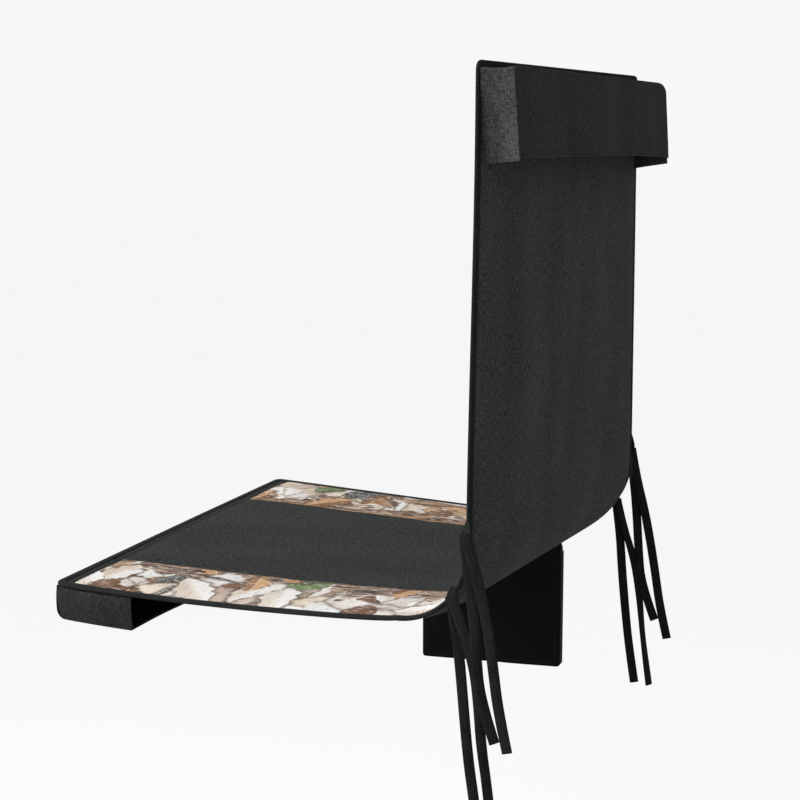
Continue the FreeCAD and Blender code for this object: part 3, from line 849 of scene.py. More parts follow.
def make_face_panels():
    """Centre panel and two printed strips over the bend, and the band at the front."""
    end = LENGTH - UNDER_BINDING
    crossing(face_panel("centre_panel_cloth", lambda s: -CAMO_EDGE + 0 * s, lambda s: CAMO_EDGE + 0 * s,
                        BAND_END, end, SEAT_CHARCOAL),
             "charcoal_cloth", "seat_centre_panel", "back_centre_panel")
    crossing(face_panel("camo_strip_left", lambda s: CAMO_EDGE + 0 * s, left_edge, BAND_END, end, CAMO),
             "camo_cloth", "seat_camo_left", "back_camo_left")
    crossing(face_panel("camo_strip_right", lambda s: -left_edge(s), lambda s: -CAMO_EDGE + 0 * s,
                        BAND_END, end, CAMO),
             "camo_cloth", "seat_camo_right", "back_camo_right")
    carried(face_panel("front_band_cloth", lambda s: -left_edge(s), left_edge,
                       UNDER_BINDING, BAND_END - SEAM_GAP, COATED),
            "coated_black_cloth", "seat", "seat_front_band")


def outer_cloth(name, start, end, material):
    """Stretch of the outer face, from edge to edge."""
    s = rows_between(start, end)[:, None]
    half = half_at(s, UNDER_BINDING)
    x = np.linspace(-1, 1, round(2 * HALF / CELL))[None] * half
    rise = back_rise(x, s)
    weave = joined(x, s)
    return cloth(name, on_cover(x, s, rise + CLOTH), on_cover(x, s, rise), weave, material, turned=True)


def make_outer_cloth():
    """Rear panel down to a seam under the seat, and the lining from there to the front."""
    seam = SEAT_RUN - LINING_SHORT
    rear = outer_cloth("rear_panel_cloth", seam, LENGTH - UNDER_BINDING, CHARCOAL)
    crossing(rear, "charcoal_cloth", "back_rear_panel", "bend_panel")
    lining = outer_cloth("seat_lining_cloth", UNDER_BINDING, seam - SEAM_GAP, COATED)
    carried(lining, "coated_black_cloth", "seat", "seat_lining")


def make_foam():
    """Foam sheet between the two cloths, a solid slab that follows the same surface."""
    s = rows_between(FOAM_INSET, LENGTH - FOAM_INSET)[:, None]
    x = np.linspace(-1, 1, 40)[None] * half_at(s, FOAM_INSET)
    top = on_cover(x, s, face_rise(x, s) - 2 * CLOTH)
    under = on_cover(x, s, back_rise(x, s) + 2 * CLOTH)
    weave = joined(x, s)
    foam = cloth("foam_core", top, under, weave, FOAM)
    crossing(foam, "foam_sheet", "seat_foam", "back_foam")


# ---- binding ----
def outline():
    """The cover's edge as a closed line of (x, s), and its outward direction: front edge, left side,
    top edge, right side, with quarter circles at the corners."""
    turn = np.linspace(0, math.pi / 2, 9)
    side = np.linspace(FRONT_CORNER, LENGTH - TOP_CORNER, 220)
    narrowing = np.clip((side - SHOULDER) / (LENGTH - SHOULDER), 0, 1)
    side_x = HALF - (HALF - TOP_HALF) * narrowing
    front_corner = joined(HALF - FRONT_CORNER + FRONT_CORNER * np.sin(turn),
                          FRONT_CORNER - FRONT_CORNER * np.cos(turn))
    top_corner = joined(side_x[-1] - TOP_CORNER + TOP_CORNER * np.cos(turn),
                        LENGTH - TOP_CORNER + TOP_CORNER * np.sin(turn))
    left = np.concatenate([front_corner, joined(side_x, side), top_corner])
    right = left[::-1] * np.array([-1, 1])
    whole = np.concatenate([left, right, left[:1]])
    even = spread(with_height(whole), OUTLINE_PITCH)[:-1, :2]
    return even, unit(sideways(np.roll(even, -1, 0) - np.roll(even, 1, 0)))


def tape_profile():
    """Cross-section of the folded binding as (inward, height), a closed C: out along the sitter's face,
    round the edge, back along the outer face, then the same way back just inside."""
    lip, skin, proud = BINDING_REACH, 0.0007, 0.0002
    high, low = proud, -EDGE_THICKNESS - proud
    middle = -EDGE_THICKNESS / 2
    outer = [(lip, high - 0.0005), (lip - 0.0002, high), (lip * 0.5, high + 0.0002), (0.0016, high),
             (0.0005, high - 0.0004), (0.0001, high - 0.0012), (-0.0001, middle), (0.0001, low + 0.0012),
             (0.0005, low + 0.0004), (0.0016, low), (lip * 0.5, low - 0.0002), (lip - 0.0002, low),
             (lip, low + 0.0005)]
    inner = [(lip - 0.0002, low + skin), (lip * 0.35, low + skin), (0.0015, low + 0.0012),
             (0.0009, middle), (0.0015, high - 0.0012), (lip * 0.35, high - skin),
             (lip - 0.0002, high - skin)]
    return np.array(outer + inner)


def make_binding():
    """The tape's profile carried round the whole outline, its lip wandering a little in width."""
    edge, outward = outline()
    profile = tape_profile()
    travelled = np.arange(len(edge)) * OUTLINE_PITCH
    waver = 1 + 0.035 * np.sin(travelled * 71) + 0.03 * np.sin(travelled * 29 + 1.0)
    inward = profile[None, :, 0] * waver[:, None]
    x, s = moved_in(edge[:, None], outward[:, None], inward)
    rise = profile[None, :, 1] + 0 * x
    weave = joined(travelled[:, None], travel(profile)[None])
    tape = loft("edge_binding_tape", on_cover(x, s, rise), weave, TAPE, closed_path=True)
    crossing(tape, "binding_tape", "seat_binding", "back_binding", "bend_binding_left", "bend_binding_right")


# =====================================================================================
# Stitching
# =====================================================================================
STITCH = 0.0026
STITCH_PITCH = 0.0036
THREAD_RADIUS = 0.00026
THREAD_LIFT = 0.0001
STRIP_STITCHES = 0.0034
BINDING_STITCH_SHARE = 0.78
SLEEVE_STITCHES = 0.0042
MOUTH_STITCHES = 0.0055
REAR = (0.0, 1.0, 0.0)
DOWN = (0.0, 0.0, -1.0)


def stitch_mesh(name, rows):
    """Rows of thread: each row is a line of points with the direction that faces out of the cloth there.
    A stitch is a short five-sided spindle laid along the line, thickest at its middle and sunk in at both
    ends, and all the stitches of all the rows make one mesh."""
    ring = np.linspace(0, 2 * math.pi, 5, endpoint=False)
    places, headings, faces_out = [], [], []
    for line, out in rows:
        even = spread(line, STITCH_PITCH)
        even_out = unit(np.stack([np.interp(np.linspace(0, 1, len(even)), np.linspace(0, 1, len(out)),
                                            out[:, axis]) for axis in range(3)], -1))
        places.append((even[:-1] + even[1:]) / 2)
        headings.append(unit(even[1:] - even[:-1]))
        faces_out.append(even_out[:-1])
    place, heading, out = (np.concatenate(part)[:, None, None] for part in (places, headings, faces_out))
    side = np.cross(heading, out)
    step = np.array([-0.5, 0.0, 0.5])[None, :, None, None] * STITCH
    thick = np.array([0.35, 1.0, 0.35])[None, :, None, None] * THREAD_RADIUS
    sunk = np.array([-0.6, 0.7, -0.6])[None, :, None, None] * THREAD_RADIUS
    around = np.cos(ring)[None, None, :, None] * side + np.sin(ring)[None, None, :, None] * out
    points = place + heading * step + out * sunk + around * thick
    count = points.shape[0]
    first = (np.arange(count) * 15)[:, None, None]
    skin = (first + grid_faces(3, 5, round_columns=True)[None]).reshape(-1, 4)[:, ::-1]
    caps = (first + np.array([[[0, 1, 2, 3, 4]], [[14, 13, 12, 11, 10]]])[:, 0][None]).reshape(-1, 5)
    weave = np.zeros((count * 15, 2))
    return build(name, points.reshape(-1, 3), [skin, caps], weave, THREAD, sharp=80)


def facing(line, direction):
    """A line of stitches and one direction out of the cloth for all of it."""
    return line, np.tile(direction, (len(line), 1))


def cover_row(edge, outward, inward, rise, away):
    """Line of stitches at a distance in from a line on the cover, and the direction that faces out."""
    x, s = moved_in(edge, outward, inward)
    _, _, face_y, face_z = line_at(s)
    return on_cover(x, s, rise), joined(0 * face_y, face_y, face_z) * away


def face_row(x, s):
    """Line of stitches laid on the sitter's face."""
    line = joined(x, s)
    return cover_row(line, 0 * line, 0, face_rise(line[:, 0], line[:, 1]) + THREAD_LIFT, 1)


def make_cover_stitches():
    """Rows round the binding on both faces, beside the strips' seams, and along the band."""
    edge, outward = (np.concatenate([part, part[:1]]) for part in outline())
    inward = BINDING_REACH * BINDING_STITCH_SHARE
    s = np.linspace(BAND_END + 0.002, LENGTH - BINDING_REACH, 300)
    rows = [cover_row(edge, outward, inward, 0.0004, 1),
            cover_row(edge, outward, inward, -EDGE_THICKNESS - 0.0004, -1),
            face_row(CAMO_EDGE + STRIP_STITCHES, s), face_row(-CAMO_EDGE - STRIP_STITCHES, s)]
    piece = stitch_mesh("cover_stitching", rows)
    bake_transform(piece)
    x = np.linspace(-HALF + 0.012, HALF - 0.012, 200)
    band_rows = [face_row(x, BAND_END - 0.0030), face_row(x, BAND_END + 0.0032)]
    band = stitch_mesh("front_band_stitching", band_rows)
    carried(band, "binding_tape", "seat")


# =====================================================================================
# Head sleeve
# =====================================================================================
(_, _, BAND_LOW), (SLEEVE_HALF, BAND_REACH, BAND_BOX_TOP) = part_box("head_sleeve_band")
BAND_TOP = BAND_BOX_TOP + 0.0035
BAND_HEIGHT = BAND_TOP - BAND_LOW
REACH_LOW = BAND_REACH - SLEEVE_CLOTH - 0.0014
REACH_TOP = REACH_LOW - 0.0052
LEFT_CORNER = (0.004, 0.004)
RIGHT_CORNER = (0.026, 0.010)
HEM_LIFT = 0.0052


def band_head(x):
    """Height of the band's upper edge, which falls a little towards the right end."""
    return BAND_TOP - 0.0024 * (1 - x / SLEEVE_HALF)


def band_foot(x):
    """Height of the band's lower edge: drawn up along most of its length, lowest at the right end."""
    return BAND_LOW + HEM_LIFT * (1 - ((1 - x / SLEEVE_HALF) / 2) ** 4)


def band_point(x, v, out):
    """Rear band of the head sleeve: v runs up it, from a lower edge that stands further off the back to
    the upper one; the cloth bellies out a little and ripples towards its hem."""
    across = x / SLEEVE_HALF
    lean = REACH_LOW + (REACH_TOP - REACH_LOW) * v
    belly = 0.0014 * np.sin(math.pi * v) * (1 - across ** 4)
    wave = 0.0008 * np.sin(x * 34 + 1.1) + 0.0004 * np.sin(x * 77 + 0.4)
    ripple = wave * (1 - v) ** 0.7 * (1 - across ** 6)
    foot = band_foot(x)
    groove = -0.0007 * np.exp(-(((v - 0.068) / 0.014) ** 2)) + 0.0004 * np.exp(-(((v - 0.03) / 0.02) ** 2))
    place = lean + belly + ripple + groove + out
    height = foot + (band_head(x) - foot) * v
    return joined(x + 0.004 * v * smooth(across), place, height)


def corner_cut(v, corner):
    """How far a rounded upper corner cuts in from the band's end at the height v."""
    wide, high = corner
    above = np.clip((v * BAND_HEIGHT - (BAND_HEIGHT - high)) / high, 0, 1)
    return wide * (1 - np.sqrt(1 - above ** 2))


def make_head_band():
    """The band as a grid, closer together near its rounded upper corners."""
    v = np.concatenate([np.linspace(0, 0.85, 18)[:-1],
                        1 - 0.15 * np.cos(np.linspace(0, math.pi / 2, 9))])[:, None]
    left, right = SLEEVE_HALF - corner_cut(v, LEFT_CORNER), -SLEEVE_HALF + corner_cut(v, RIGHT_CORNER)
    x = left + (right - left) * np.linspace(0, 1, 100)[None]
    weave = joined(x, BAND_WEAVE + v * BAND_HEIGHT)
    band = cloth("head_sleeve_band_cloth", band_point(x, v, SLEEVE_CLOTH), band_point(x, v, 0),
                 weave, BLACK)
    carried(band, "black_cloth", "back", "head_sleeve_band")


def arch_line(inset):
    """The sleeve's outline seen from the rear, up the left side, over the top and down the right, as
    (x, z) with its outward direction."""
    turn = np.linspace(0, math.pi / 2, 10)
    (left_wide, left_high), (right_wide, right_high) = LEFT_CORNER, RIGHT_CORNER
    left = np.linspace(BAND_LOW, BAND_TOP - left_high, 16)[:-1]
    right = np.linspace(BAND_TOP - right_high, BAND_LOW, 16)[1:]
    middle = np.linspace(SLEEVE_HALF - left_wide, -SLEEVE_HALF + right_wide, 60)[1:-1]
    whole = np.concatenate([
        joined(SLEEVE_HALF, left),
        joined(SLEEVE_HALF - left_wide * (1 - np.cos(turn)), BAND_TOP - left_high * (1 - np.sin(turn))),
        joined(middle, BAND_TOP),
        joined(-SLEEVE_HALF + right_wide * (1 - np.sin(turn)), BAND_TOP - right_high * (1 - np.cos(turn))),
        joined(-SLEEVE_HALF, right)])
    outward = sideways(unit(np.gradient(whole, axis=0)))
    return whole - outward * inset, outward


def wrap_point(line, outward, q, inset):
    """Side walls and top of the sleeve: q runs from the back out to the band.  Each side wall is drawn in
    along its middle, most at the open lower end, and the top dips between its seams.  The right wall
    hangs lower than the band, and most of all where it is sewn to the back."""
    x = line[:, None, 0]
    v = (line[:, None, 1] - BAND_LOW) / BAND_HEIGHT
    left_foot, right_foot = 0.0028 * q, -0.0121 + 0.0058 * q
    z = line[:, None, 1] + np.where(x > 0, left_foot, right_foot) * (1 - v) + (band_head(x) - BAND_TOP) * v
    reach = REACH_LOW + (REACH_TOP - REACH_LOW) * v
    on_side = smooth(np.abs(outward[:, None, 0]) * 1.5 - 0.5)
    draw_in = 0.0038 * np.sin(math.pi * q) ** 1.3 * (1.15 - 0.75 * v) * on_side
    crumple = 0.0009 * np.sin(line[:, None, 1] * 150 + q * 5) * np.sin(math.pi * q) * on_side
    dip = 0.0012 * np.sin(math.pi * q) * (1 - on_side)
    inward = draw_in + crumple + dip + inset
    splay = np.where(x > 0, 0.004 * v + 0.003 * v * (1 - q), 0)
    x, z = x + splay - outward[:, None, 0] * inward, z - outward[:, None, 1] * inward
    seam_x, seam_s = x[:, :1], SEAT_RUN + ARC + z[:, :1] - BEND
    sewn = -back_rise(seam_x, seam_s) - drape(seam_x, seam_s) - 0.0006
    return joined(x, sewn + (reach - sewn) * q, z)


def make_head_wrap():
    """Top and both side walls in one strip along the sleeve's outline."""
    line, outward = arch_line(0)
    q = np.linspace(0, 1, 12)[None]
    travelled = travel(line)[:, None]
    weave = joined(travelled, WRAP_WEAVE + q * REACH_TOP)
    wrap = cloth("head_sleeve_wrap_cloth", wrap_point(line, outward, q, 0.0),
                 wrap_point(line, outward, q, SLEEVE_CLOTH * 0.8), weave, GUSSET, turned=True)
    carried(wrap, "charcoal_cloth", "back",
            "head_sleeve_top", "head_sleeve_gusset_left", "head_sleeve_gusset_right")


def band_share(line):
    """How far up the band each point (x, z) lies, from 0 at its lower edge to 1 at its top."""
    foot = band_foot(line[:, 0])
    return np.clip((line[:, 1] - foot) / (BAND_TOP - foot), 0, 1)


def make_head_hem():
    """Folded hem of the band: a second thickness inside its lower edge, the rim of the fold in the lighter
    side-wall cloth, a painted highlight along the fold, and a seam ridge that follows the band's corner
    with the side walls and the top."""
    v = np.linspace(0, 0.075, 5)[:, None]
    x = np.linspace(1, -1, 90)[None] * (SLEEVE_HALF - 0.003)
    weave = joined(x, BAND_WEAVE + v * BAND_HEIGHT)
    hem = cloth("head_sleeve_hem_cloth", band_point(x, v, -0.0001), band_point(x, v, -0.0012),
                weave, BLACK)
    carried(hem, "black_cloth", "back", "head_sleeve_hem")
    line, _ = arch_line(SEAM_GAP)
    ridge = band_point(line[:, 0], band_share(line), SLEEVE_CLOTH * 0.5)
    rim = band_point(x[0, ::2], 0.006, SLEEVE_CLOTH)
    # The rim tube is in the lighter side-wall cloth: a painted highlight along the hem's fold.
    for name, path, radius, material in (("head_sleeve_corner_seam", ridge, 0.0008, BLACK),
                                         ("head_sleeve_hem_highlight_rim", rim, 0.0007, GUSSET)):
        carried(cord_tube(name, spread(path, TUBE_PITCH), radius, material), "black_cloth", "back")


def cord_tube(name, line, radius, material):
    """Round tube of one radius along a line of points."""
    along = unit(np.gradient(line, axis=0))
    helper = np.where(np.abs(along[:, :1]) > 0.8, np.array([[0, 0, 1.0]]), np.array([[1.0, 0, 0]]))
    side = unit(np.cross(along, helper))
    other = np.cross(along, side)
    ring = np.linspace(0, 2 * math.pi, 8, endpoint=False)
    rings = (line[:, None] + radius * (np.cos(ring)[None, :, None] * side[:, None]
                                       + np.sin(ring)[None, :, None] * other[:, None]))
    distance = np.linspace(0, len(line) * TUBE_PITCH, len(line))
    weave = joined(distance[:, None], ring[None] * radius)
    return loft(name, rings, weave, material, sharp=80)


def make_head_stitches():
    """A row along the hem and a row inside the sleeve's outline."""
    x = np.linspace(SLEEVE_HALF - 0.004, -SLEEVE_HALF + 0.004, 160)
    line, _ = arch_line(SLEEVE_STITCHES)
    lift = SLEEVE_CLOTH + THREAD_LIFT
    rows = [facing(band_point(x, 0.062 + 0 * x, lift), REAR),
            facing(band_point(line[:, 0], band_share(line), lift), REAR)]
    carried(stitch_mesh("head_sleeve_stitching", rows), "black_cloth", "back")


# =====================================================================================
# Front sleeve
# =====================================================================================
(_, FRONT_FACE, FRONT_LOW), (FRONT_HALF, FRONT_MOUTH, FRONT_BOX_TOP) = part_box("front_sleeve_panel")
FRONT_TOP = FRONT_BOX_TOP + PAD - EDGE_THICKNESS
FRONT_ROUND = 0.009
GUSSET_BELLY = 0.0040


def hang_line():
    """Section of the front sleeve as (y, z) with its outward direction: down the front, round the lower
    corner and back to the open rear edge."""
    turn = np.linspace(0, math.pi / 2, 9)
    down = np.linspace(FRONT_TOP, FRONT_LOW + FRONT_ROUND, 6)[:-1]
    back = np.linspace(FRONT_FACE + FRONT_ROUND, FRONT_MOUTH, 18)[1:]
    line = np.concatenate([
        joined(FRONT_FACE, down),
        joined(FRONT_FACE + FRONT_ROUND * (1 - np.cos(turn)), FRONT_LOW + FRONT_ROUND * (1 - np.sin(turn))),
        joined(back, FRONT_LOW)])
    return line, sideways(unit(np.gradient(line, axis=0)))


def under_seat(x, y, z):
    """Points hung below the seat: they follow its twist."""
    return joined(x, y, z + drape(x, np.maximum(y - FRONT, 0)))


def sleeve_skin(x, line, outward, inset):
    """The front sleeve's cloth: its section carried across the seat, sagging between the two ends and
    rippled a little towards the mouth."""
    y = line[:, None, 0]
    z = line[:, None, 1]
    back = np.clip((y - FRONT_FACE) / (FRONT_MOUTH - FRONT_FACE), 0, 1)
    below = np.clip((FRONT_TOP - z) / (FRONT_TOP - FRONT_LOW), 0, 1)
    sag = -0.0028 * np.cos(x / FRONT_HALF * math.pi / 2) * below
    ripple = 0.0009 * np.sin(x * 41 + 0.5) * back * below
    push = -0.0012 * np.sin(math.pi * below) * (1 - back)
    y, z = moved_in(line[:, None], outward[:, None], inset)
    return under_seat(x, y + push, z + sag + ripple)


def make_front_sleeve():
    """The wrapped cloth, the hem inside its open edge, and a row of stitches on the hem."""
    line, outward = hang_line()
    x = np.linspace(-1, 1, 110)[None] * FRONT_HALF
    travelled = travel(line)[:, None]
    panel = cloth("front_sleeve_cloth", sleeve_skin(x, line, outward, 0),
                  sleeve_skin(x, line, outward, SLEEVE_CLOTH), joined(x, FRONT_WEAVE + travelled),
                  COATED, turned=True)
    carried(panel, "coated_black_cloth", "seat", "front_sleeve_panel")
    line, outward = line[-3:], outward[-3:]
    x = np.linspace(-1, 1, 100)[None] * (FRONT_HALF - 0.003)
    hem = cloth("front_sleeve_hem_cloth", sleeve_skin(x, line, outward, SLEEVE_CLOTH + 0.0001),
                sleeve_skin(x, line, outward, SLEEVE_CLOTH + 0.0010), joined(x, HEM_WEAVE + travelled[-3:]),
                COATED, turned=True)
    carried(hem, "coated_black_cloth", "seat", "front_sleeve_hem")
    x = np.linspace(-FRONT_HALF + 0.004, FRONT_HALF - 0.004, 160)
    place, outward = np.array([[FRONT_MOUTH - MOUTH_STITCHES, FRONT_LOW]]), np.array([[0.0, -1.0]])
    rim = sleeve_skin(x[None], place, outward, -THREAD_LIFT)[0]
    carried(stitch_mesh("front_sleeve_stitching", [facing(rim, DOWN)]), "coated_black_cloth", "seat")


def make_front_gussets():
    """End walls of the front sleeve: a grid that hangs from the seat's edge down to the sleeve's section,
    bellied outwards, with the section's rounded front corner."""
    y = np.concatenate([FRONT_FACE + FRONT_ROUND * (1 - np.cos(np.linspace(0.05, math.pi / 2, 10))),
                        np.linspace(FRONT_FACE + FRONT_ROUND, FRONT_MOUTH, 24)[1:]])[:, None]
    ahead = np.clip((FRONT_FACE + FRONT_ROUND - y) / FRONT_ROUND, 0, 1)
    bottom = FRONT_LOW + FRONT_ROUND * (1 - np.sqrt(1 - ahead ** 2)) + SLEEVE_CLOTH
    down = np.linspace(0, 1, 12)[None]
    z = FRONT_TOP + (bottom - FRONT_TOP) * down
    back = (y - FRONT_FACE) / (FRONT_MOUTH - FRONT_FACE)
    along = math.pi * (0.06 + 0.86 * np.clip(back, 0, 1))
    belly = GUSSET_BELLY * np.sin(math.pi * down ** 0.55) * np.sin(along) ** 0.5
    fold = 0.0010 * np.exp(-(((back - 0.62 - 0.2 * down) / 0.06) ** 2)) * down
    weave = joined(GUSSET_WEAVE + y, z)
    for side, sign in (("left", 1), ("right", -1)):
        x = sign * (FRONT_HALF - 0.0014 + belly - fold)
        name = f"front_sleeve_gusset_{side}"
        gusset = cloth(name + "_cloth", under_seat(x, y, z), under_seat(x - sign * SLEEVE_CLOTH, y, z),
                       weave, COATED, turned=sign > 0)
        carried(gusset, "coated_black_cloth", "seat", name)


# =====================================================================================
# Pouch
# =====================================================================================
(POUCH_OUTSIDE, POUCH_FRONT, POUCH_LOW), (_, POUCH_REAR, POUCH_MOUTH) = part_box("pouch_outer_panel")
_, (POUCH_INSIDE, _, POUCH_TOP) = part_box("pouch_inner_panel")
POUCH_CORNER = 0.004
POUCH_PITCH = 0.003
POUCH_DROP = 0.0105


def pouch_across(count):
    """Places across the pouch from front to rear, closer together round its two corners."""
    turn = np.linspace(0, math.pi / 2, count)
    return np.concatenate([POUCH_FRONT + POUCH_CORNER * (1 - np.cos(turn)),
                           np.linspace(POUCH_FRONT + POUCH_CORNER, POUCH_REAR - POUCH_CORNER, 40)[1:-1],
                           POUCH_REAR - POUCH_CORNER * (1 - np.sin(turn))])


def pouch_lowest(y):
    """Lower edge of the pouch: it hangs lower at the front, with small rounded corners."""
    share = (y - POUCH_FRONT) / (POUCH_REAR - POUCH_FRONT)
    near = np.minimum(y - POUCH_FRONT, POUCH_REAR - y)
    left = np.clip(POUCH_CORNER - near, 0, POUCH_CORNER)
    lift = POUCH_CORNER - np.sqrt(np.maximum(POUCH_CORNER ** 2 - left ** 2, 0))
    return POUCH_LOW + POUCH_DROP * share + lift


def pouch_wave(y, z):
    """Set of the limp nylon: one sharp upright crease near the rear edge that fades downwards, one slack
    diagonal, and slow undulation."""
    down = np.clip((POUCH_TOP - z) / (POUCH_TOP - POUCH_LOW), 0, 1)
    ridge = POUCH_REAR - 0.014 + 0.009 * down
    fading = smooth(down / 0.15) * (1 - smooth(down / 0.62))
    crease = 0.0040 * np.exp(-np.abs((y - ridge) / 0.0040) ** 1.4) * fading
    slack = 0.0013 * np.sin((y + z * 0.6) * 31) * np.sin(math.pi * down)
    slow = 0.0010 * np.sin(y * 52 + 2.0) * (0.4 + 0.6 * down)
    return crease, slack + slow


def pouch_sheet(name, x_face, top, sign, belly, node):
    """Panel of the pouch at one side; sign is which way it faces, belly how far it stands out."""
    y = pouch_across(8)[:, None]
    down = np.linspace(0, 1, 48)[None]
    z = top + (pouch_lowest(y) - top) * down
    crease, wave = pouch_wave(y, z)
    middle = np.sin(math.pi * np.clip((y - POUCH_FRONT) / (POUCH_REAR - POUCH_FRONT), 0, 1)) ** 0.6
    swell = belly * middle * np.sin(math.pi * (0.12 + 0.88 * down) * 0.98) ** 0.7
    x = x_face + sign * (swell + crease * (sign > 0)) + wave * middle
    piece = cloth(name, joined(x, y, z), joined(x - sign * SLEEVE_CLOTH * 0.7, y, z), joined(y, z), NYLON,
                  turned=sign > 0)
    carried(piece, "pouch_nylon", "pouch", node)


def pouch_edge():
    """The pouch's edge as (y, z) with its outward direction: down the front, along the bottom, up the
    rear."""
    y = pouch_across(9)
    bottom = joined(y, pouch_lowest(y))
    front = joined(POUCH_FRONT, np.linspace(POUCH_TOP, bottom[0, 1], 25)[:-1])
    rear = joined(POUCH_REAR, np.linspace(bottom[-1, 1], POUCH_TOP, 25)[1:])
    flat = spread(with_height(np.concatenate([front, bottom, rear])), POUCH_PITCH)[:, :2]
    return flat, sideways(unit(np.gradient(flat, axis=0)))


def make_pouch():
    """Two panels, and a binding whose C section is pinched below the mouth."""
    pouch_sheet("pouch_inner_nylon", POUCH_INSIDE, POUCH_TOP, 1, 0.0012, "pouch_inner_panel")
    pouch_sheet("pouch_outer_nylon", POUCH_OUTSIDE, POUCH_MOUTH, -1, 0.0030, "pouch_outer_panel")
    edge, outward = pouch_edge()
    wide, skin = POUCH_INSIDE - POUCH_OUTSIDE, 0.0008
    lip = 0.0055
    mouth_share = smooth((edge[:, 1] - POUCH_MOUTH - 0.004) / 0.010)[:, None]
    profile = np.array([(lip, wide), (lip, wide + skin), (0.0012, wide + skin), (-0.0006, wide - 0.0006),
                        (-0.0008, wide / 2), (-0.0006, 0.0006), (0.0012, -skin), (lip, -skin), (lip, 0.0),
                        (0.0014, 0.0002), (0.0006, wide / 2), (0.0014, wide - 0.0002)])
    inward = profile[None, :, 0] + 0 * mouth_share
    pinched = wide * 0.72 + (profile[None, :, 1] - wide * 0.72) * 0.45
    depth = pinched * (1 - mouth_share) + (wide - (wide - profile[None, :, 1]) * 0.16) * mouth_share
    y, z = moved_in(edge[:, None], outward[:, None], inward)
    rings = joined(POUCH_OUTSIDE + depth, y, z)
    travelled = np.arange(len(edge)) * POUCH_PITCH
    weave = joined(travelled[:, None], travel(profile)[None])
    tape = loft("pouch_binding_tape", rings[:, ::-1], weave[:, ::-1], NYLON)
    carried(tape, "binding_tape", "pouch", "pouch_binding")
    make_pouch_trim(edge, outward)


def make_pouch_trim(edge, outward):
    """Hem of the mouth, the tape that the pouch hangs by, and the stitches round its binding."""
    y = np.linspace(POUCH_FRONT + 0.006, POUCH_REAR - 0.006, 60)[:, None]
    for name, node, x_low, x_high, z_low, z_high in (
            ("pouch_mouth_hem_tape", "pouch_mouth_hem", POUCH_OUTSIDE - 0.0010, POUCH_OUTSIDE - 0.0001,
             POUCH_MOUTH - 0.008, POUCH_MOUTH + 0.0006),
            ("pouch_hanger_tape", "pouch_hanger", POUCH_INSIDE + 0.0001, POUCH_INSIDE + 0.0012,
             POUCH_TOP - 0.012, POUCH_TOP + 0.0004)):
        z = np.linspace(z_low, z_high, 6)[None]
        soft = 0.0005 * np.sin(y * 61)
        piece = cloth(name, joined(x_high + soft, y, z), joined(x_low + soft, y, z), joined(y, z), NYLON)
        carried(piece, "pouch_nylon", "pouch", node)
    line_y, line_z = moved_in(edge, outward, SLEEVE_STITCHES)
    inside = joined(POUCH_INSIDE + 0.0008, line_y, line_z)
    outside = joined(POUCH_OUTSIDE - 0.0008, line_y, line_z)[edge[:, 1] < POUCH_MOUTH]
    rows = [facing(inside, (1.0, 0.0, 0.0)), facing(outside, (-1.0, 0.0, 0.0))]
    carried(stitch_mesh("pouch_stitching", rows), "binding_tape", "pouch")


# =====================================================================================
# Tie tabs
# =====================================================================================
def make_tab(node, body, rise):
    """Sewn root of a pair of ties: the doubled tape comes out of the binding as a narrow fold, and widens
    and stands off downwards to the ribbons' own width and place.  Rings lie flat, one over another."""
    low, high = (np.array(corner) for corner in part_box(node))
    sign = 1 if high[0] > 0 else -1
    stand_off = high[0] - low[0]
    turn = np.linspace(0, 2 * math.pi, 28, endpoint=False)
    round_y = np.sign(np.cos(turn)) * np.abs(np.cos(turn)) ** 0.4
    round_x = np.sign(np.sin(turn)) * np.abs(np.sin(turn)) ** 0.6
    down = np.array([0.0, 0.04, 0.2, 0.4, 0.6, 0.8, 0.96, 1.0])[:, None]
    shut = np.array([0.6, 1, 1, 1, 1, 1, 1, 0.8])[:, None]
    half_width = (high[1] - low[1]) / 2 * (0.34 + 0.60 * smooth(down * 1.5)) * shut
    thick = (0.0009 + (stand_off - 0.0009) * smooth(down * 1.3)) * shut
    pleat = 0.12 * np.cos(turn * 6) * (1 - down)
    x = sign * (abs(low[0] if sign > 0 else high[0]) - 0.0004 + thick * (0.5 + 0.5 * round_x + pleat * 0.3))
    y = (low[1] + high[1]) / 2 + half_width * round_y
    z = high[2] + rise - (high[2] + rise - low[2]) * down + 0 * turn
    rings, weave = joined(x, y, z), joined(z, y)
    if sign < 0:
        rings, weave = rings[:, ::-1], weave[:, ::-1]
    carried(loft(node + "_tape", rings, weave, TAPE), "binding_tape", body, node)


def make_tabs():
    """One tab for each pair of ties."""
    for side, upper_rise in (("left", 0.004), ("right", 0.017)):
        make_tab(f"tie_tab_{side}_upper", "back", upper_rise)
        make_tab(f"tie_tab_{side}_lower", "bend", 0.003)


# =====================================================================================
# Room
# =====================================================================================
FLOOR_TONE, FLOOR_GLOW = 0.86, 0.163
FLOOR_HEIGHT, FLOOR_REACH = -1.1, 60.0
SKY_LIGHT, SKY_BACKDROP = 0.34, 0.93
SUN_STRENGTH, SUN_ANGLE = 2.5, math.radians(28)
SUN_HEADING = Vector((-0.62, 0.38, -0.68))
EDGE_LAMP, EDGE_AIM = Vector((1.5, -2.2, 0.5)), Vector((0, -0.1, 0.0))
EDGE_SIZE, EDGE_POWER = 0.5, 24


def studio_paint(name, value):
    """Flat pale paint with a faint mottle, and a little light of its own so that it stays even."""
    dye = Dye(name)
    place = dye.object_place()
    mottle = dye.noise(place, 3.0, 3.0)
    shade = dye.ramp(mottle, [(0.0, (value * 0.985,) * 3), (1.0, (value,) * 3)])
    return dye.finish(shade, 0.9, Specular_IOR_Level=0.0, Emission_Color=(1, 1, 1, 1),
                      Emission_Strength=FLOOR_GLOW)


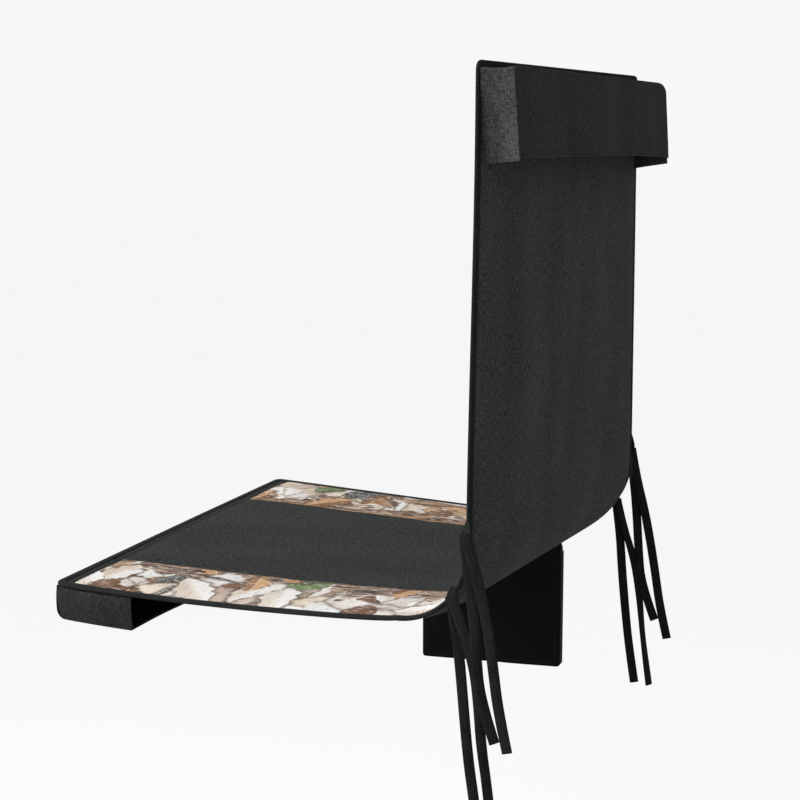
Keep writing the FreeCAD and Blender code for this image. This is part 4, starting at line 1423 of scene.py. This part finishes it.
def make_room():
    """Pale floor well below the hanging cover, under a white sky that is plain behind it and dimmer as
    light."""
    mesh = bpy.data.meshes.new("floor")
    corners = ((-1, -1), (1, -1), (1, 1), (-1, 1))
    mesh.from_pydata([(x * FLOOR_REACH, y * FLOOR_REACH, FLOOR_HEIGHT) for x, y in corners],
                     [], [(0, 1, 2, 3)])
    mesh.materials.append(studio_paint("pale_floor", FLOOR_TONE))
    floor = bpy.data.objects.new("floor", mesh)
    bpy.context.collection.objects.link(floor)
    floor.visible_diffuse = False
    floor.visible_glossy = False
    world = bpy.data.worlds.new("studio")
    bpy.context.scene.world = world
    world.use_nodes = True
    tree = world.node_tree
    seen = tree.nodes.new("ShaderNodeLightPath").outputs["Is Camera Ray"]
    strength = tree.nodes.new("ShaderNodeMapRange")
    tree.links.new(seen, strength.inputs["Value"])
    strength.inputs["To Min"].default_value = SKY_LIGHT
    strength.inputs["To Max"].default_value = SKY_BACKDROP
    background = tree.nodes["Background"]
    background.inputs["Color"].default_value = (1.0, 1.0, 1.0, 1.0)
    tree.links.new(strength.outputs["Result"], background.inputs["Strength"])
    bpy.context.scene.view_settings.view_transform = "Standard"


def hang_light(name, lamp, heading):
    """A light under this name, turned to shine along the heading."""
    holder = bpy.data.objects.new(name, lamp)
    bpy.context.collection.objects.link(holder)
    holder.rotation_mode = "QUATERNION"
    holder.rotation_quaternion = heading.to_track_quat("-Z", "Y")
    return holder


def light_room():
    """A broad sun from behind the sitter's left, and a disk lamp that picks out the front edges."""
    sun = bpy.data.lights.new("key", "SUN")
    sun.energy = SUN_STRENGTH
    sun.angle = SUN_ANGLE
    hang_light("key", sun, SUN_HEADING)
    lamp = bpy.data.lights.new("edge", "AREA")
    lamp.shape = "DISK"
    lamp.size = EDGE_SIZE
    lamp.energy = EDGE_POWER
    hang_light("edge", lamp, EDGE_AIM - EDGE_LAMP).location = EDGE_LAMP


# =====================================================================================
place_camera()
make_ties()
make_face_panels()
make_outer_cloth()
make_foam()
make_binding()
make_cover_stitches()
make_head_band()
make_head_wrap()
make_head_hem()
make_head_stitches()
make_front_sleeve()
make_front_gussets()
make_pouch()
make_tabs()
make_room()
light_room()
